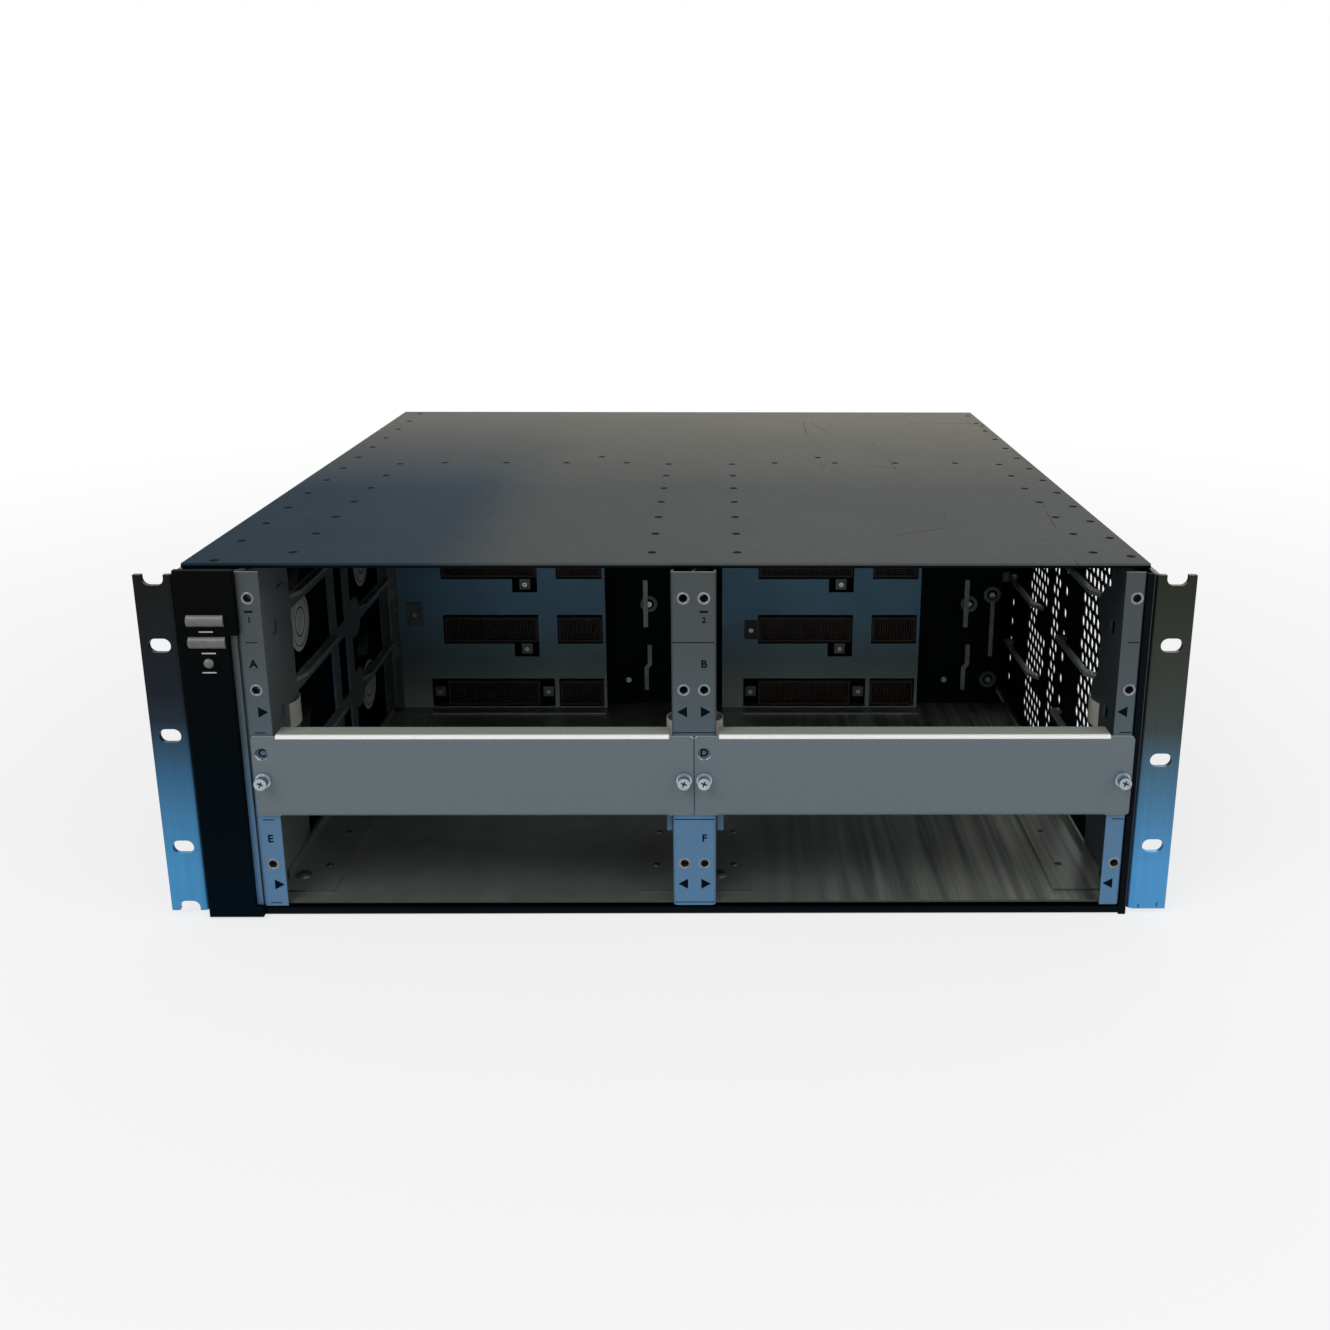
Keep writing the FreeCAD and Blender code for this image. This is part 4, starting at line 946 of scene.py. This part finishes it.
def add_corner(bm, side, z, up, way):
    x = side * EAR_MIDDLE + way * NOTCH
    centre = place(x - way * ROUND, 0, z + up * ROUND)
    rim = [bm.verts.new(place(x, y, z + up * ROUND)) for y in EAR_FACES]
    bmesh.ops.spin(bm, geom=rim + [bm.edges.new(rim)], cent=centre, axis=(0, 1, 0),
                   angle=way * up * math.pi / 2, steps=7)
    rounded = {v for v in bm.verts if abs((v.co - centre).xz.length - ROUND / 1000) < SAME}
    tip = [bm.verts.new(place(x, y, z)) for y in EAR_FACES]
    for point in tip:
        row = sorted((v for v in rounded if abs(v.co.y - point.co.y) < SAME),
                     key=lambda v: abs((v.co - centre).z))
        for a, b in zip(row, row[1:]):
            bm.faces.new((point, a, b))
    for end_x, end_z in (rim[0].co.xz, (centre.x, z / 1000)):
        pair = sorted((v for v in rounded if abs(v.co.x - end_x) < SAME
                       and abs(v.co.z - end_z) < SAME), key=lambda v: v.co.y)
        bm.faces.new((tip[0], tip[1], pair[1], pair[0]))


print("corners of radius", ROUND, "mm in notches", 2 * NOTCH, "mm wide")

# %% [markdown]
# Three of the four notches get two fillers each. The lower end of the right ear is plain, so
# its notch is closed with a block, and two short scuffs mark where a notch would start and
# end.

# %% Ear ends
LOW_NOTCH, HIGH_NOTCH = 8.1, 167.1
ear_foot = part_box("rack_ear_right")[0].z * 1000
bm = bmesh.new()
for side, z, up in ((-1, LOW_NOTCH, -1), (-1, HIGH_NOTCH, 1), (1, HIGH_NOTCH, 1)):
    for way in (-1, 1):
        add_corner(bm, side, z, up, way)
add_block(bm, (227.5, 0.0, ear_foot), (237.6, 2.5, LOW_NOTCH))
bmesh.ops.recalc_face_normals(bm, faces=bm.faces[:])
piece("ear_ends", bm, ears)

bm = bmesh.new()
for x, z in ((228.2, 1.4), (237.0, 2.2)):
    add_block(bm, (x - 0.25, -0.03, ear_foot + z - 1), (x + 0.25, 0.0, ear_foot + z + 1))
piece("ear_scuffs", bm, ink)

# %% [markdown]
# ## Marks of the status panel
# A short pale dash under each lens says that it means something, without any word.

# %% Panel marks
PANEL_FACE = -3.5
bm = bmesh.new()
for x, z in ((-209.3, 146.2), (-209.0, 135.9), (-209.6, 126.6)):
    add_block(bm, (x - 3.2, PANEL_FACE - INK, z - 0.28), (x + 3.2, PANEL_FACE, z + 0.28))
piece("panel_marks", bm, paper)

# %% [markdown]
# ## Floor
# A pale floor keeps the look plain. It also glows, but only where the camera, a reflection or
# a lens sees it, and more strongly further out. So its edge can't be seen, it throws no extra
# light on the object, and the soft shadow stays near the chassis.

# %% Studio floor
bm = bmesh.new()
bmesh.ops.create_grid(bm, x_segments=1, y_segments=1, size=30)
mesh = bpy.data.meshes.new("studio_floor")
bm.to_mesh(mesh)
bm.free()
studio_floor = bpy.data.objects.new("studio_floor", mesh)
bpy.context.scene.collection.objects.link(studio_floor)


def seen_directly(tree):
    """1 where the camera, a reflection or a lens looks, and 0 for light that falls softly."""
    path = tree.nodes.new("ShaderNodeLightPath")
    total = path.outputs["Is Camera Ray"]
    for name in ("Is Glossy Ray", "Is Transmission Ray"):
        higher = tree.nodes.new("ShaderNodeMath")
        higher.operation = "MAXIMUM"
        tree.links.new(total, higher.inputs[0])
        tree.links.new(path.outputs[name], higher.inputs[1])
        total = higher.outputs[0]
    return total


pale = Finish("pale_floor", 0.9, specular=0.1)
pale.shader.inputs["Base Color"].default_value = (0.8, 0.8, 0.8, 1)
reach = pale.node("ShaderNodeVectorMath", operation="LENGTH")
pale.link(pale.place, reach.inputs[0])
fade = pale.node("ShaderNodeMapRange", interpolation_type="SMOOTHSTEP")
for socket, value in (("From Min", 0.25), ("From Max", 1.3), ("To Min", 0.72), ("To Max", 1.0)):
    fade.inputs[socket].default_value = value
pale.link(reach.outputs["Value"], fade.inputs["Value"])
glow = pale.node("ShaderNodeEmission")
blend = pale.node("ShaderNodeMixShader")
share = pale.maths("MULTIPLY", seen_directly(pale.tree), fade.outputs["Result"])
for number, source in enumerate((share, pale.shader.outputs[0], glow.outputs[0])):
    pale.link(source, blend.inputs[number])
pale.link(blend.outputs[0], pale.tree.nodes["Material Output"].inputs["Surface"])
mesh.materials.append(pale.material)
tell(pale)

# %% [markdown]
# ## Background
# The room is evenly white. It is at full strength only where it is seen directly, and at half
# strength where its light falls softly on the object.

# %% Background
SOFT, SEEN = 0.5, 1.0
world = bpy.data.worlds.new("studio")
bpy.context.scene.world = world
world.use_nodes = True
tree = world.node_tree
background = tree.nodes["Background"]
background.inputs["Color"].default_value = (1, 1, 1, 1)
level = tree.nodes.new("ShaderNodeMapRange")
level.inputs["To Min"].default_value = SOFT
level.inputs["To Max"].default_value = SEEN
tree.links.new(seen_directly(tree), level.inputs["Value"])
tree.links.new(level.outputs["Result"], background.inputs["Strength"])
print("background at", SOFT, "for soft light and", SEEN, "seen directly")

# %% [markdown]
# ## Lamps
# Three wide lamps give the shapes a soft modelling: a key from the front left, a weaker fill
# from the front right, and one behind that lights the rear edge.

# %% Lamps
def lamp(name, at, target, size, power):
    data = bpy.data.lights.new(name, "AREA")
    data.shape = "RECTANGLE"
    data.size, data.size_y = size
    data.energy = power
    obj = bpy.data.objects.new(name, data)
    bpy.context.scene.collection.objects.link(obj)
    way = Vector(target) - Vector(at)
    obj.matrix_world = Matrix.Translation(at) @ way.to_track_quat("-Z", "Y").to_matrix().to_4x4()
    print(name, "of", power, "watts,", round(way.length, 2), "m away")


lamp("soft_key", (-1.2, -1.6, 1.9), (0, 0, 0.08), (1.6, 1.2), 22)
lamp("soft_fill", (1.7, -1.1, 1.3), (0, 0, 0.08), (1.4, 1.2), 10)
lamp("soft_rear", (0.6, 2.2, 1.5), (0, 0, 0.15), (2.2, 1.0), 10)

# %% [markdown]
# ## Camera
# The camera stands a little above the chassis and looks slightly down at its open front. Its
# turn is given by the three directions it holds: to the right, upwards and backwards.

# %% Camera
EYE = (0.023135, -0.814791, 0.335337)
RIGHT_WAY = Vector((0.999966, -0.007875, 0.00257))
UP_WAY = Vector((-0.000398, 0.264205, 0.964466))
BACK_WAY = Vector((-0.008275, -0.964434, 0.264193))
view = bpy.data.cameras.new("camera")
view.sensor_width = 36
view.lens = 35.705
view.shift_x = -0.04788
view.shift_y = -0.07679
camera = bpy.data.objects.new("camera", view)
bpy.context.scene.collection.objects.link(camera)
turn = Matrix((RIGHT_WAY, UP_WAY, BACK_WAY)).transposed().to_4x4()
camera.matrix_world = Matrix.Translation(EYE) @ turn
bpy.context.scene.camera = camera
bpy.context.scene.view_settings.view_transform = "Standard"
print("camera lens", view.lens, "mm, standing at", EYE)
